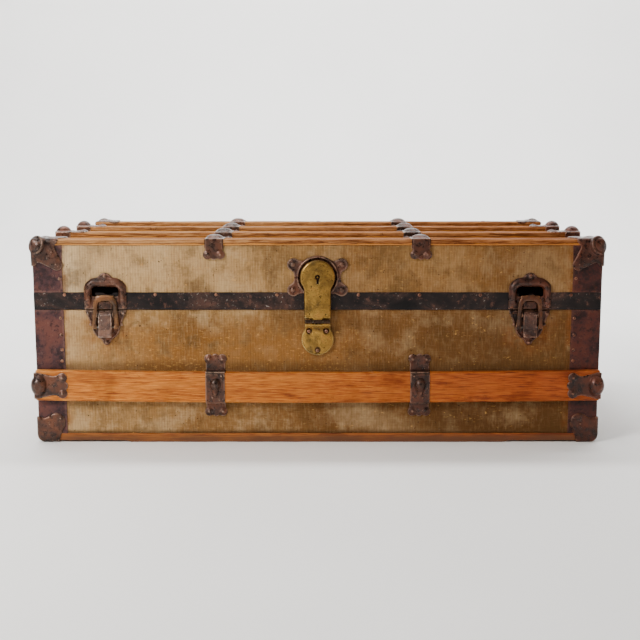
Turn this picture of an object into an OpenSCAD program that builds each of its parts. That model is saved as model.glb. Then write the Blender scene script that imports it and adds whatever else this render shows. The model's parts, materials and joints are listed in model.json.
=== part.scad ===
// Low slatted steamer trunk: a canvas-covered board box with a hinged lid, hardwood slats,
// stamped iron trim, two draw bolts, a brass hasp lock, folding lid stays and a lift-out tray.
// Origin: centre of the footprint, on the floor. +X along the trunk, -Y is the front, +Z up.

/* [Body] */
// Length of the canvas-covered box
box_w = 914; // [860:1:1000]
// Depth of the canvas-covered box, front to back
box_d = 530; // [500:1:600]
// Height of the seam between base and lid
seam_z = 220; // [215:1:240]
// Height over the top slats
trunk_h = 333; // [325:1:345]
// Thickness of the wall boards
board_t = 9; // [7:0.5:10]
// Thickness of the canvas cover
canvas_t = 1; // [0.5:0.1:1]

/* [Slats] */
// Width of a slat that lies on the top or the bottom
slat_w = 46; // [40:1:50]
// Thickness of a top slat
top_slat_t = 9; // [8:0.5:12]
// Thickness of a bottom slat
bottom_slat_t = 15; // [13:0.5:16]
// Thickness of the front and back slats
side_slat_t = 12; // [10:0.5:13]
// Height of the middle of the front and back slats
side_slat_z = 96; // [90:1:98]
// Width of the front and back slats
side_slat_w = 50; // [46:1:50]

/* [Hardware] */
// Distance of each draw bolt and outer hinge from the middle
bolt_x = 342; // [300:1:345]
// Distance of each row of slat clamps from the middle
clamp_x = 166; // [140:1:200]
// Width of the iron corner bindings
binding_w = 48; // [42:1:50]
// Height of the black band along the lid's edge
band_h = 28; // [26:1:28]
// Sheet thickness of stamped iron fittings
sheet_t = 1.5; // [1:0.1:1.5]
// How far a leather handle bows out
handle_bow = 22; // [18:1:25]

/* [Inside] */
// Height of the tray
tray_h = 90; // [70:1:90]
// Thickness of the tray's boards
tray_t = 6; // [5:0.5:8]
// Centre distance of the pivots of each lid stay arm
stay_r = 170; // [150:1:180]

/* [Hidden] */
$fn = 40;

// Colours
oak = [0.66, 0.39, 0.18];
pine = [0.72, 0.58, 0.40];
canvas_colour = [0.56, 0.46, 0.31];
paper = [0.80, 0.74, 0.62];
iron = [0.30, 0.20, 0.17];
japan = [0.12, 0.11, 0.12];
brass = [0.60, 0.46, 0.18];
leather = [0.32, 0.18, 0.10];
steel = [0.45, 0.43, 0.41];
tape = [0.70, 0.64, 0.52];

// Half sizes of the box: over the canvas, over the boards, inside the boards
hw = box_w / 2;
hd = box_d / 2;
bw = hw - canvas_t;
bd = hd - canvas_t;
iw = bw - board_t;
id = bd - board_t;
// Iron trim lies 1 mm proud of the canvas
trim_t = 1;
tw = hw + trim_t;
td = hd + trim_t;

// Heights
box_z = bottom_slat_t;
lid_top_z = trunk_h - top_slat_t;
seam_gap = 0.5;
base_rim_z = seam_z - seam_gap;
band_top_z = seam_z + band_h;
lining_t = 0.5;

// Slats
edge_slat_y = td - slat_w / 2;
inner_slat_y = 81;
slat_rows = [-edge_slat_y, -inner_slat_y, inner_slat_y, edge_slat_y];
slat_face_y = td + side_slat_t;
slat_lo = side_slat_z - side_slat_w / 2;
slat_hi = side_slat_z + side_slat_w / 2;
// The bottom slats thin out towards their ends, where the caps wrap under them
slat_end_lift = 2.5;
slat_flat_x = 307;
slat_ramp_x = 314;
top_slat_over = 1;

// Hinge line of the lid
hinge_y = 270;
hinge_r = 3.6;
hinge_pin_r = 1.6;
hinge_w = 60;
knuckles = 5;
leaf_t = 1.2;
pin_gap = 0.05;

// Draw bolt: lever pivot and hook pivot, in y and z
lever_y = -(hd + 7);
lever_z = seam_z - 8;
hook_y = -(hd + 5.4);
hook_z = lever_z - 20;
bolt_pin_r = 1.5;
lever_w = 22;
hook_w = 43;
hook_leg_w = 7.5;
keeper_w = 64;

// Lock: centre of the ring, hasp face, hinge line of the hasp
ring_z = seam_z + 53;
ring_r = 34;
disc_r = 28;
hasp_w = 43;
hasp_face_y = -(hd + 14);
hasp_back_y = -(hd + 5.5);
hasp_hinge_y = -(hd + 13);
hasp_hinge_z = seam_z - 18;
hasp_pin_r = 1.4;
catch_r = 26.5;
catch_z = seam_z - 48;

// Lid stay: base pivot and lid pivot lie at the same radius from the hinge line,
// a half angle below and above the seam, so the arms and the two radii form a rhombus
stay_half_angle = 7;
stay_f = stay_r * cos(stay_half_angle);
stay_h = stay_r * sin(stay_half_angle);
stay_pin_r = 2.5;
stay_arm_w = 14;
stay_arm_t = 1.6;
stay_wall_x = iw - lining_t;
stay_lower_x = stay_wall_x - 3.5;
stay_upper_x = stay_lower_x - 2;

// Tray
tray_top_z = base_rim_z - 5.5;
tray_z = tray_top_z - tray_h;
tray_w = iw - 11;
tray_d = id - 5;
divider_x = tray_w / 3;
tray_floor_t = 5;
cleat_h = 12;
cleat_w = 20;

// Leather handle on each end
handle_z = 132;
strap_w = 32;
strap_t = 5;
strap_half = 104;
strap_arch = 78;
strap_stand = 1.5;

// Round nail and rivet heads
nail_r = 2.4;
nail_h = 1.4;

// ---- Helpers ------------------------------------------------------------------------------------

function arc(cx, cy, r, a0, a1, n = 10) =
    [for (i = [0:n]) let (a = a0 + (a1 - a0) * i / n) [cx + r * cos(a), cy + r * sin(a)]];

// A box from its lowest to its highest corner
module span(lo, hi) {
    translate(lo) cube(hi - lo);
}

// Extrudes an outline drawn in x and z towards the front, from y = -from to y = -to
module to_front(from, to) {
    translate([0, -from, 0]) rotate([90, 0, 0]) linear_extrude(to - from) children();
}

// Extrudes an outline drawn in y and z along x
module along_x(x0, x1) {
    translate([x0, 0, 0]) rotate([90, 0, 90]) linear_extrude(x1 - x0) children();
}

module rod_x(y, z, r, x0, x1) {
    translate([x0, y, z]) rotate([0, 90, 0]) cylinder(r = r, h = x1 - x0);
}

module both_ends() {
    children();
    mirror([1, 0, 0]) children();
}

module front_and_back() {
    children();
    mirror([0, 1, 0]) children();
}

module four_corners() {
    both_ends() front_and_back() children();
}

// A round head that stands on the front plane y = -from
module front_head(x, z, from) {
    translate([x, -from, z]) rotate([90, 0, 0]) cylinder(r = nail_r, h = nail_h, $fn = 16);
}

// A round head that stands on the right end, at x = from
module end_head(y, z, from) {
    translate([from, y, z]) rotate([0, 90, 0]) cylinder(r = nail_r, h = nail_h, $fn = 16);
}

// ---- Base: boards, canvas and lining ------------------------------------------------------------

floor_top_z = box_z + board_t;

module base_front_board() {
    color(pine) span([-bw, -bd, floor_top_z], [bw, -id, base_rim_z]);
}

module base_back_board() {
    color(pine) span([-bw, id, floor_top_z], [bw, bd, base_rim_z]);
}

module base_end_boards() {
    color(pine) both_ends() span([iw, -id, floor_top_z], [bw, id, base_rim_z]);
}

module base_floor_board() {
    color(pine) span([-bw, -bd, box_z], [bw, bd, floor_top_z]);
}

module base_canvas() {
    color(canvas_colour) {
        front_and_back() span([-hw, -hd, box_z], [hw, -bd, base_rim_z]);
        both_ends() span([bw, -bd, box_z], [hw, bd, base_rim_z]);
    }
}

module base_lining() {
    color(paper) {
        front_and_back() span([-iw, -id, floor_top_z], [iw, -id + lining_t, base_rim_z - 2]);
        both_ends() span([iw - lining_t, -id + lining_t, floor_top_z],
                         [iw, id - lining_t, base_rim_z - 2]);
        span([-iw + lining_t, -id + lining_t, floor_top_z],
             [iw - lining_t, id - lining_t, floor_top_z + lining_t]);
    }
}

// ---- Iron bindings and slats --------------------------------------------------------------------

// An angle of sheet iron over one vertical edge of the box
module corner_binding(z0, z1) {
    difference() {
        span([tw - binding_w, -td, z0], [tw, -td + binding_w, z1]);
        span([tw - binding_w - 1, -hd, z0 - 1], [hw, -td + binding_w + 1, z1 + 1]);
    }
}

module base_corner_bindings() {
    color(iron) four_corners() corner_binding(box_z, base_rim_z);
}

module lid_corner_bindings() {
    color(iron) four_corners() corner_binding(band_top_z, lid_top_z);
}

module lid_band() {
    color(japan) difference() {
        span([-tw, -td, seam_z], [tw, td, band_top_z]);
        span([-hw, -hd, seam_z - 1], [hw, hd, band_top_z + 1]);
    }
}

// Half the side view of a bottom slat: flat on the floor, then a short ramp to its thin end
slat_round = 10;
slat_profile = concat(
    [[0, 0], [slat_flat_x, 0], [slat_ramp_x, slat_end_lift]],
    arc(tw - slat_round, slat_end_lift + slat_round, slat_round, -90, 0),
    [[tw, bottom_slat_t], [0, bottom_slat_t]]
);

module bottom_slats() {
    color(oak) for (y = slat_rows)
        translate([0, y + slat_w / 2, 0]) rotate([90, 0, 0]) linear_extrude(slat_w) {
            polygon(slat_profile);
            mirror([1, 0]) polygon(slat_profile);
        }
}

module front_slat() {
    color(oak) span([-hw, -slat_face_y, slat_lo], [hw, -td, slat_hi]);
}

module back_slat() {
    color(oak) span([-hw, td, slat_lo], [hw, slat_face_y, slat_hi]);
}

module top_slats() {
    color(oak) for (i = [0:3]) {
        edge = i == 0 ? -top_slat_over : (i == 3 ? top_slat_over : 0);
        span([-tw, slat_rows[i] - slat_w / 2 + edge, lid_top_z],
             [tw, slat_rows[i] + slat_w / 2 + edge, trunk_h]);
    }
}

// ---- Slat clamps and their knobs ----------------------------------------------------------------

clamp_w = 34;
ear_h = 25;
knob_r = 14;

// Side view of a clamp that straps a side slat to the box
clamp_profile = [
    [-hd, slat_hi + ear_h], [-hd - sheet_t, slat_hi + ear_h], [-hd - sheet_t, slat_hi + sheet_t],
    [-slat_face_y - sheet_t, slat_hi + sheet_t], [-slat_face_y - sheet_t, slat_lo - sheet_t],
    [-hd - sheet_t, slat_lo - sheet_t], [-hd - sheet_t, slat_lo - ear_h],
    [-hd, slat_lo - ear_h], [-hd, slat_lo], [-slat_face_y, slat_lo],
    [-slat_face_y, slat_hi], [-hd, slat_hi]
];
clamp_knob_r = 8;

module slat_clamps() {
    color(iron) four_corners() union() {
        along_x(clamp_x - clamp_w / 2, clamp_x + clamp_w / 2) polygon(clamp_profile);
        difference() {
            translate([clamp_x, -slat_face_y, side_slat_z]) sphere(r = clamp_knob_r);
            span([clamp_x - 20, -slat_face_y - sheet_t / 2, slat_lo], [clamp_x + 20, 0, slat_hi]);
        }
    }
}

// The clamp on each end of a side slat wraps the corner and carries a round bumper
end_clamp_in = 52;
end_clamp_back = 46;
end_clamp_h = 44;

module slat_end_clamps() {
    z0 = side_slat_z - end_clamp_h / 2;
    z1 = side_slat_z + end_clamp_h / 2;
    color(iron) four_corners() difference() {
        union() {
            span([tw - end_clamp_in, -slat_face_y - sheet_t, z0], [tw + sheet_t, -slat_face_y, z1]);
            span([tw, -slat_face_y - sheet_t, z0], [tw + sheet_t, -slat_face_y + end_clamp_back, z1]);
            translate([hw - 5, -slat_face_y + 5, side_slat_z]) sphere(r = knob_r);
        }
        span([0, -slat_face_y, z0 - 20], [tw, 0, z1 + 20]);
    }
}

module top_slat_clamps() {
    color(iron) both_ends() for (y = [-inner_slat_y, inner_slat_y]) difference() {
        span([clamp_x - clamp_w / 2, y - slat_w / 2 - 12, lid_top_z],
             [clamp_x + clamp_w / 2, y + slat_w / 2 + 12, trunk_h + sheet_t]);
        span([clamp_x - clamp_w, y - slat_w / 2, lid_top_z - 1],
             [clamp_x + clamp_w, y + slat_w / 2, trunk_h]);
        for (s = [-1, 1]) translate([0, y + s * (slat_w / 2 + sheet_t + 15), 0])
            span([clamp_x - clamp_w, -15, lid_top_z + sheet_t], [clamp_x + clamp_w, 15, trunk_h + 5]);
    }
}

// Clamps of the edge slats fold down over the front or back of the lid
edge_clamp_drop = 22;

module top_edge_clamps() {
    face = td + top_slat_over;
    color(iron) four_corners() difference() {
        span([clamp_x - clamp_w / 2, -face - sheet_t, lid_top_z - edge_clamp_drop],
             [clamp_x + clamp_w / 2, -td + slat_w + 12, trunk_h + sheet_t]);
        span([clamp_x - clamp_w, -face, lid_top_z],
             [clamp_x + clamp_w, -td + slat_w - top_slat_over, trunk_h]);
        span([clamp_x - clamp_w, -hd, 0], [clamp_x + clamp_w, 0, lid_top_z]);
        translate([0, -td + slat_w - top_slat_over + sheet_t, 0])
            span([clamp_x - clamp_w, 0, lid_top_z + sheet_t], [clamp_x + clamp_w, 40, trunk_h + 5]);
    }
}

// End clamps of the two inner top slats, each with a round bumper
module top_slat_end_clamps() {
    color(iron) both_ends() for (y = [-inner_slat_y, inner_slat_y]) difference() {
        union() {
            span([tw - 50, y - slat_w / 2 + 2, trunk_h],
                 [tw + sheet_t, y + slat_w / 2 - 2, trunk_h + sheet_t]);
            span([tw, y - slat_w / 2 + 2, lid_top_z - 22],
                 [tw + sheet_t, y + slat_w / 2 - 2, trunk_h + sheet_t]);
            translate([hw - 7, y, trunk_h - 2]) sphere(r = knob_r);
        }
        span([0, y - 40, 0], [tw, y + 40, trunk_h]);
    }
}

// ---- Corner caps --------------------------------------------------------------------------------

cap_edge = 39;
cap_tip = 40;
cap_tip_r = 9;

// One lobe of a corner cap, drawn from the corner of its face
module cap_lobe() {
    polygon(concat([[0, 0], [cap_edge, 0]], arc(cap_tip, cap_tip, cap_tip_r, -10, 100), [[0, cap_edge]]));
}

// Three lobes over a corner whose edges meet at [x, -y, z]; up is 1 at the bottom, -1 at the top
module corner_cap(x, y, z, up) {
    translate([x, -y, z]) {
        rotate([90, 0, 0]) linear_extrude(sheet_t) mirror([1, 0]) scale_y(up) cap_lobe();
        rotate([90, 0, 90]) linear_extrude(sheet_t) scale_y(up) cap_lobe();
        translate([0, 0, up > 0 ? -sheet_t : 0]) linear_extrude(sheet_t) mirror([1, 0]) cap_lobe();
        // Strips that close the three edges
        translate([0, -sheet_t, min(0, up * cap_edge)]) cube([sheet_t, sheet_t, cap_edge]);
        translate([-cap_edge, -sheet_t, up > 0 ? -sheet_t : 0]) cube([cap_edge + sheet_t, sheet_t, sheet_t]);
        translate([0, -sheet_t, up > 0 ? -sheet_t : 0]) cube([sheet_t, cap_edge + sheet_t, sheet_t]);
    }
}

module scale_y(up) {
    if (up > 0) children();
    else mirror([0, 1]) children();
}

module base_corner_caps() {
    color(iron) four_corners() corner_cap(tw, td, slat_end_lift, 1);
}

corner_knob_in = 9.5;

module lid_corner_caps() {
    face = td + top_slat_over;
    color(iron) four_corners() union() {
        corner_cap(tw, face, trunk_h, -1);
        difference() {
            translate([hw - corner_knob_in, -face + corner_knob_in + 2, trunk_h - 7])
                sphere(r = knob_r + 0.5);
            span([0, -face - sheet_t / 2, 0], [tw + sheet_t / 2, 0, trunk_h + sheet_t / 2]);
        }
    }
}

// ---- Draw bolts ---------------------------------------------------------------------------------

module at_bolts() {
    for (x = [-bolt_x, bolt_x]) translate([x, 0, 0]) children();
}

bolt_top_z = base_rim_z;
bolt_tip_z = seam_z - 50;

// Base plate of a draw bolt, tapered to a rounded foot
module bolt_plate_outline() {
    half = concat(
        [[keeper_w / 2, bolt_top_z], [keeper_w / 2 - 2, seam_z - 20]],
        [[22, seam_z - 44]],
        arc(0, bolt_tip_z, 9, -15, -90, 6)
    );
    polygon(concat(half, [for (i = [len(half) - 1:-1:0]) [-half[i][0], half[i][1]]]));
}

module draw_bolt_plates() {
    ear_x = lever_w / 2 + 0.7;
    color(iron) at_bolts() {
        to_front(hd, hd + sheet_t) bolt_plate_outline();
        for (s = [-1, 1]) difference() {
            union() {
                rod_x(lever_y, lever_z, 4.2, s * (ear_x + 0.75) - 0.75, s * (ear_x + 0.75) + 0.75);
                span([s * (ear_x + 0.75) - 0.75, lever_y, lever_z - 4],
                     [s * (ear_x + 0.75) + 0.75, -hd - sheet_t / 2, lever_z + 4]);
            }
            rod_x(lever_y, lever_z, bolt_pin_r + pin_gap, -20, 20);
        }
    }
}

module draw_bolt_lever_pins() {
    color(steel) at_bolts() rod_x(lever_y, lever_z, bolt_pin_r, -lever_w / 2 - 2.2, lever_w / 2 + 2.2);
}

lever_r = 5;
lever_tail_z = lever_z - 32;

// Side view of the lever: round head about its pivot, flat face, and a thumb lip at the tail
module lever_outline() {
    polygon(concat(
        arc(lever_y, lever_z, lever_r, 0, 180, 12),
        [[lever_y - lever_r, lever_tail_z + 5], [lever_y - lever_r - 4, lever_tail_z - 3],
         [lever_y - lever_r - 2.5, lever_tail_z - 4], [lever_y - lever_r + 1.5, lever_tail_z],
         [-hd - 2.8, lever_tail_z], [-hd - 2.8, lever_z - 3]]
    ));
}

module draw_bolt_lever(x) {
    color(iron) translate([x, 0, 0]) difference() {
        along_x(-lever_w / 2, lever_w / 2) lever_outline();
        rod_x(lever_y, lever_z, bolt_pin_r + 2 * pin_gap, -20, 20);
        rod_x(hook_y, hook_z, bolt_pin_r + pin_gap, -20, 20);
    }
}

module left_draw_bolt_lever() {
    draw_bolt_lever(-bolt_x);
}

module right_draw_bolt_lever() {
    draw_bolt_lever(bolt_x);
}

module hook_pin(x) {
    color(steel) rod_x(hook_y, hook_z, bolt_pin_r, x - hook_w / 2, x + hook_w / 2);
}

module left_hook_pin() {
    hook_pin(-bolt_x);
}

module right_hook_pin() {
    hook_pin(bolt_x);
}

hook_front_y = hd + 8;
hook_rear_y = hd + 5.6;
hook_top_z = seam_z + 24;
hook_bar_h = 10;
hook_eye_r = 3.4;
hook_lip_y = hd + 3.3;

// The arched hook: two legs with eyes, a bar across the top and two lips that reach the keeper
module draw_bolt_hook(x) {
    leg_x = hook_w / 2 - hook_leg_w;
    color(iron) translate([x, 0, 0]) difference() {
        union() {
            to_front(hook_rear_y, hook_front_y) difference() {
                translate([-hook_w / 2, hook_z]) square([hook_w, hook_top_z - hook_z]);
                translate([-leg_x, hook_z - 1]) square([2 * leg_x, hook_top_z - hook_bar_h - hook_z + 1]);
            }
            for (s = [-1, 1]) {
                rod_x(hook_y, hook_z, hook_eye_r, s * (leg_x + hook_leg_w / 2) - hook_leg_w / 2,
                      s * (leg_x + hook_leg_w / 2) + hook_leg_w / 2);
                span([s * (leg_x + 3) - 3, -hook_rear_y - 0.1, hook_top_z - 2.5],
                     [s * (leg_x + 3) + 3, -hook_lip_y, hook_top_z]);
            }
        }
        rod_x(hook_y, hook_z, bolt_pin_r + 2 * pin_gap, -30, 30);
    }
}

module left_draw_bolt_hook() {
    draw_bolt_hook(-bolt_x);
}

module right_draw_bolt_hook() {
    draw_bolt_hook(bolt_x);
}

keeper_top_z = seam_z + 51;
window_w = 43;
window_lo = seam_z + 22;
window_hi = seam_z + 40;
keeper_face_y = td + 2;

module keeper_outline() {
    r = 12;
    difference() {
        union() {
            polygon(concat(
                [[-keeper_w / 2, seam_z + 0.5], [keeper_w / 2, seam_z + 0.5]],
                arc(keeper_w / 2 - r, keeper_top_z - r, r, 0, 90, 6),
                arc(-keeper_w / 2 + r, keeper_top_z - r, r, 90, 180, 6)
            ));
            translate([0, keeper_top_z]) circle(r = 9);
        }
        translate([-window_w / 2, window_lo]) square([window_w, window_hi - window_lo]);
    }
}

// Keeper plate on the lid: a window under a raised hood, and a low lug inside the hook
module draw_bolt_keepers() {
    color(iron) at_bolts() {
        to_front(td, keeper_face_y) keeper_outline();
        to_front(keeper_face_y, hd + 8) difference() {
            translate([-28, seam_z + 10]) square([56, keeper_top_z - seam_z - 10]);
            translate([-22.5, seam_z + 9]) square([45, window_hi - seam_z - 9]);
        }
        to_front(keeper_face_y, hd + 5) translate([-lever_w / 2, seam_z + 0.5]) square([lever_w, 13.5]);
    }
}

// ---- Lock ---------------------------------------------------------------------------------------

ear_dx = 40;
ear_dz = 20;

// Receiver on the lid: an eared plate with a raised ring and a small staple for the lock's bolt
module lock_ring_plate() {
    color(iron) {
        to_front(td, td + sheet_t) union() {
            translate([0, ring_z]) circle(r = ring_r);
            for (sx = [-1, 1], sz = [-1, 1])
                polygon(concat(
                    [[0, ring_z], [sx * 28, ring_z + sz * 4]],
                    arc(sx * ear_dx, ring_z + sz * ear_dz, 9, sx > 0 ? -sz * 60 : 180 + sz * 60,
                        sx > 0 ? sz * 150 : 180 - sz * 150, 12),
                    [[sx * 20, ring_z + sz * 27]]
                ));
        }
        to_front(td + sheet_t / 2, hd + 5.2) difference() {
            translate([0, ring_z]) circle(r = ring_r);
            translate([0, ring_z]) circle(r = disc_r + 2);
            translate([-hasp_w / 2 - 1, 0]) square([hasp_w + 2, ring_z - 20]);
        }
        to_front(td + sheet_t / 2, hd + 5.2) translate([-4, ring_z - 22]) square([8, 7]);
    }
}

module hasp_outline(inset = 0) {
    translate([0, ring_z]) circle(r = disc_r - inset);
    translate([-hasp_w / 2 + inset, hasp_hinge_z + 3.3 + inset])
        square([hasp_w - 2 * inset, ring_z - hasp_hinge_z - 15 - inset]);
}

// Brass hasp: a hollow keyhole-shaped pressing that swings down on the catch plate
module lock_hasp() {
    skin = 1.5;
    knuckle = 7.7;
    color(brass) difference() {
        union() {
            difference() {
                to_front(-hasp_back_y, -hasp_face_y) hasp_outline();
                to_front(-hasp_back_y - 1, -hasp_face_y - skin) hasp_outline(skin);
            }
            rod_x(hasp_hinge_y, hasp_hinge_z, 3, -knuckle, knuckle);
            span([-knuckle, hasp_face_y, hasp_hinge_z], [knuckle, hasp_hinge_y, hasp_hinge_z + 4.5]);
        }
        rod_x(hasp_hinge_y, hasp_hinge_z, hasp_pin_r + pin_gap, -30, 30);
        // Keyhole
        to_front(-hasp_face_y - 5, -hasp_face_y + 1) translate([0, ring_z + 1]) circle(r = 2.6);
        to_front(-hasp_face_y - 5, -hasp_face_y + 1) translate([-1.2, ring_z - 8]) square([2.4, 9]);
    }
}

// Sliding bolt inside the hasp, thrown by the key
module lock_bolt() {
    color(steel) span([-16, hasp_face_y + 2.2, ring_z - 24], [9, hasp_face_y + 5.2, ring_z - 14]);
}

// Brass plate on the base that carries the hasp's hinge
module lock_catch_plate() {
    color(brass) difference() {
        union() {
            to_front(hd, hd + 5) union() {
                translate([0, catch_z]) circle(r = catch_r);
                translate([-hasp_w / 2, catch_z]) square([hasp_w, 24]);
            }
            for (s = [-1, 1]) {
                rod_x(hasp_hinge_y, hasp_hinge_z, 3, s * 14 - 6, s * 14 + 6);
                span([s * 14 - 6, hasp_hinge_y, hasp_hinge_z - 3], [s * 14 + 6, -hd, hasp_hinge_z + 3]);
            }
            to_front(hd, hd + sheet_t) translate([-20, catch_z]) square([40, hasp_hinge_z + 3 - catch_z]);
        }
        rod_x(hasp_hinge_y, hasp_hinge_z, hasp_pin_r + pin_gap, -30, 30);
    }
}

module lock_hinge_pin() {
    color(steel) rod_x(hasp_hinge_y, hasp_hinge_z, hasp_pin_r, -20, 20);
}

// ---- Lid hinges ---------------------------------------------------------------------------------

hinge_xs = [-bolt_x, 0, bolt_x];
knuckle_w = hinge_w / knuckles;
knuckle_gap = 0.3;
base_leaf_h = 55;
lid_leaf_h = 62;

// Knuckles of one leaf: odd ones belong to the lid, even ones to the base
module hinge_knuckles(parity) {
    for (i = [0:knuckles - 1]) if (i % 2 == parity)
        rod_x(hinge_y, seam_z, hinge_r, -hinge_w / 2 + i * knuckle_w + knuckle_gap / 2,
              -hinge_w / 2 + (i + 1) * knuckle_w - knuckle_gap / 2);
}

// A leaf on the base or lid, with short webs that carry its knuckles
module hinge_leaf(parity, inner_y, z0, z1) {
    web_lo = z1 > seam_z ? z0 : seam_z - hinge_r;
    web_hi = z1 > seam_z ? seam_z + hinge_r : z1;
    difference() {
        union() {
            span([-hinge_w / 2, inner_y, z0], [hinge_w / 2, inner_y + leaf_t, z1]);
            hinge_knuckles(parity);
            for (i = [0:knuckles - 1]) if (i % 2 == parity)
                span([-hinge_w / 2 + i * knuckle_w + knuckle_gap / 2, inner_y, web_lo],
                     [-hinge_w / 2 + (i + 1) * knuckle_w - knuckle_gap / 2, hinge_y, web_hi]);
        }
        for (i = [0:knuckles - 1]) if (i % 2 != parity)
            rod_x(hinge_y, seam_z, hinge_r + 0.4, -hinge_w / 2 + i * knuckle_w - knuckle_gap / 2,
                  -hinge_w / 2 + (i + 1) * knuckle_w + knuckle_gap / 2);
        rod_x(hinge_y, seam_z, hinge_pin_r + pin_gap, -hinge_w, hinge_w);
    }
}

module hinge_base_leaves() {
    color(iron) for (x = hinge_xs) translate([x, 0, 0])
        hinge_leaf(0, hd, base_rim_z - base_leaf_h, base_rim_z);
}

module hinge_lid_leaves() {
    color(iron) for (x = hinge_xs) translate([x, 0, 0])
        hinge_leaf(1, td, seam_z + 0.3, seam_z + lid_leaf_h);
}

module hinge_pins() {
    color(steel) for (x = hinge_xs)
        rod_x(hinge_y, seam_z, hinge_pin_r, x - hinge_w / 2 - 1, x + hinge_w / 2 + 1);
}

// ---- Leather handles ----------------------------------------------------------------------------

// How far the strap's inner face stands from the end, along its length
function strap_out(y) =
    hw + strap_stand + (abs(y) < strap_arch ? handle_bow * (0.5 + 0.5 * cos(180 * y / strap_arch)) : 0);

strap_ys = [for (i = [-13:13]) i * strap_half / 13];

module handle_strap() {
    color(leather) translate([0, 0, handle_z - strap_w / 2]) linear_extrude(strap_w)
        polygon(concat(
            [for (y = strap_ys) [strap_out(y), y]],
            [for (i = [len(strap_ys) - 1:-1:0]) [strap_out(strap_ys[i]) + strap_t, strap_ys[i]]]
        ));
}

module right_handle_strap() {
    handle_strap();
}

module left_handle_strap() {
    mirror([1, 0, 0]) handle_strap();
}

// Stamped cap over each end of a strap: a flange on the canvas and a raised pocket
cap_len = 52;
cap_h = 46;

module handle_end_caps() {
    pocket_x = hw + strap_stand + strap_t + 0.5;
    color(iron) four_corners() difference() {
        union() {
            span([hw, -strap_half - 10, handle_z - cap_h / 2],
                 [hw + sheet_t, -strap_half - 10 + cap_len, handle_z + cap_h / 2]);
            span([hw, -strap_half - 4, handle_z - strap_w / 2 - 3],
                 [pocket_x + sheet_t, -strap_half + cap_len - 24, handle_z + strap_w / 2 + 3]);
        }
        span([hw - 1, -strap_half - 1, handle_z - strap_w / 2 - 1],
             [pocket_x, -strap_half + cap_len + 1, handle_z + strap_w / 2 + 1]);
    }
}

// ---- Nails and rivets ---------------------------------------------------------------------------

binding_nail_x = tw - binding_w + 5;
base_nail_zs = [136, 154, 179, 206];
band_nail_xs = [66, 164, 262, 408];
band_nail_z = band_top_z - 4;

module base_nails() {
    color(iron) {
        four_corners() for (z = base_nail_zs) {
            front_head(binding_nail_x, z, td);
            end_head(-td + binding_w - 5, z, tw);
        }
        // Rivets of the clamps
        four_corners() for (dx = [-11, 11], z = [slat_lo - ear_h + 8, slat_hi + ear_h - 8])
            front_head(clamp_x + dx, z, hd + sheet_t);
        // Rivets of the draw bolt plates and the catch plate
        at_bolts() {
            for (s = [-1, 1]) front_head(s * 27.5, seam_z - 6, hd + sheet_t);
            front_head(0, bolt_tip_z - 2, hd + sheet_t);
        }
        for (s = [-1, 1]) front_head(s * 14.5, catch_z + 13, hd + 5);
        front_head(0, catch_z - 18, hd + 5);
        // Rivets of the hinges and the handle caps
        mirror([0, 1, 0])
            for (x = hinge_xs, dx = [-20, 20], z = [base_rim_z - 16, base_rim_z - base_leaf_h + 10])
                front_head(x + dx, z, hd + leaf_t);
        four_corners() for (dz = [-19.8, 19.8]) end_head(-strap_half + 36, handle_z + dz, hw + sheet_t);
    }
}

module lid_nails() {
    color(iron) {
        four_corners() {
            front_head(binding_nail_x, (band_top_z + lid_top_z) / 2 - 16, td);
            end_head(-td + binding_w - 5, (band_top_z + lid_top_z) / 2 - 16, tw);
            for (x = band_nail_xs) front_head(x, band_nail_z, td);
            for (y = [-66, -164]) end_head(y, band_nail_z, tw);
            for (dx = [-10.5, 10.5])
                front_head(clamp_x + dx, lid_top_z - edge_clamp_drop + 7, td + top_slat_over + sheet_t);
        }
        at_bolts() {
            for (s = [-1, 1]) front_head(s * 29.4, seam_z + 5, keeper_face_y);
            front_head(0, keeper_top_z + 4, keeper_face_y);
        }
        for (sx = [-1, 1], sz = [-1, 1]) front_head(sx * ear_dx, ring_z + sz * ear_dz, td + sheet_t);
        mirror([0, 1, 0]) for (x = hinge_xs, dx = [-20, 20], z = [seam_z + 22, seam_z + lid_leaf_h - 10])
            front_head(x + dx, z, td + leaf_t);
        // Domed nails through the rear slat, above the hinges
        for (x = hinge_xs) translate([x, slat_rows[3], trunk_h]) cylinder(r = 6, h = 2);
    }
}

// ---- Lid boards ---------------------------------------------------------------------------------

lid_under_z = lid_top_z - canvas_t - board_t;

module lid_front_board() {
    color(pine) span([-bw, -bd, seam_z], [bw, -id, lid_under_z]);
}

module lid_back_board() {
    color(pine) span([-bw, id, seam_z], [bw, bd, lid_under_z]);
}

module lid_end_boards() {
    color(pine) both_ends() span([iw, -id, seam_z], [bw, id, lid_under_z]);
}

module lid_top_board() {
    color(pine) span([-bw, -bd, lid_under_z], [bw, bd, lid_under_z + board_t]);
}

module lid_canvas() {
    color(canvas_colour) {
        front_and_back() span([-hw, -hd, seam_z], [hw, -bd, lid_top_z - canvas_t]);
        both_ends() span([bw, -bd, seam_z], [hw, bd, lid_top_z - canvas_t]);
        span([-hw, -hd, lid_top_z - canvas_t], [hw, hd, lid_top_z]);
    }
}

module lid_lining() {
    color(paper) {
        front_and_back() span([-iw, -id, seam_z + 2], [iw, -id + lining_t, lid_under_z]);
        both_ends() span([iw - lining_t, -id + lining_t, seam_z + 2], [iw, id - lining_t, lid_under_z]);
        span([-iw + lining_t, -id + lining_t, lid_under_z - lining_t],
             [iw - lining_t, id - lining_t, lid_under_z]);
    }
}

// ---- Lid stays ----------------------------------------------------------------------------------

// Stay pivots in y and z: on the base, on the lid and at the elbow
stay_base = [hinge_y - stay_f, seam_z - stay_h];
stay_lid = [hinge_y - stay_f, seam_z + stay_h];
stay_elbow = [hinge_y - 2 * stay_f, seam_z];
bracket_r = 9;

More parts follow.
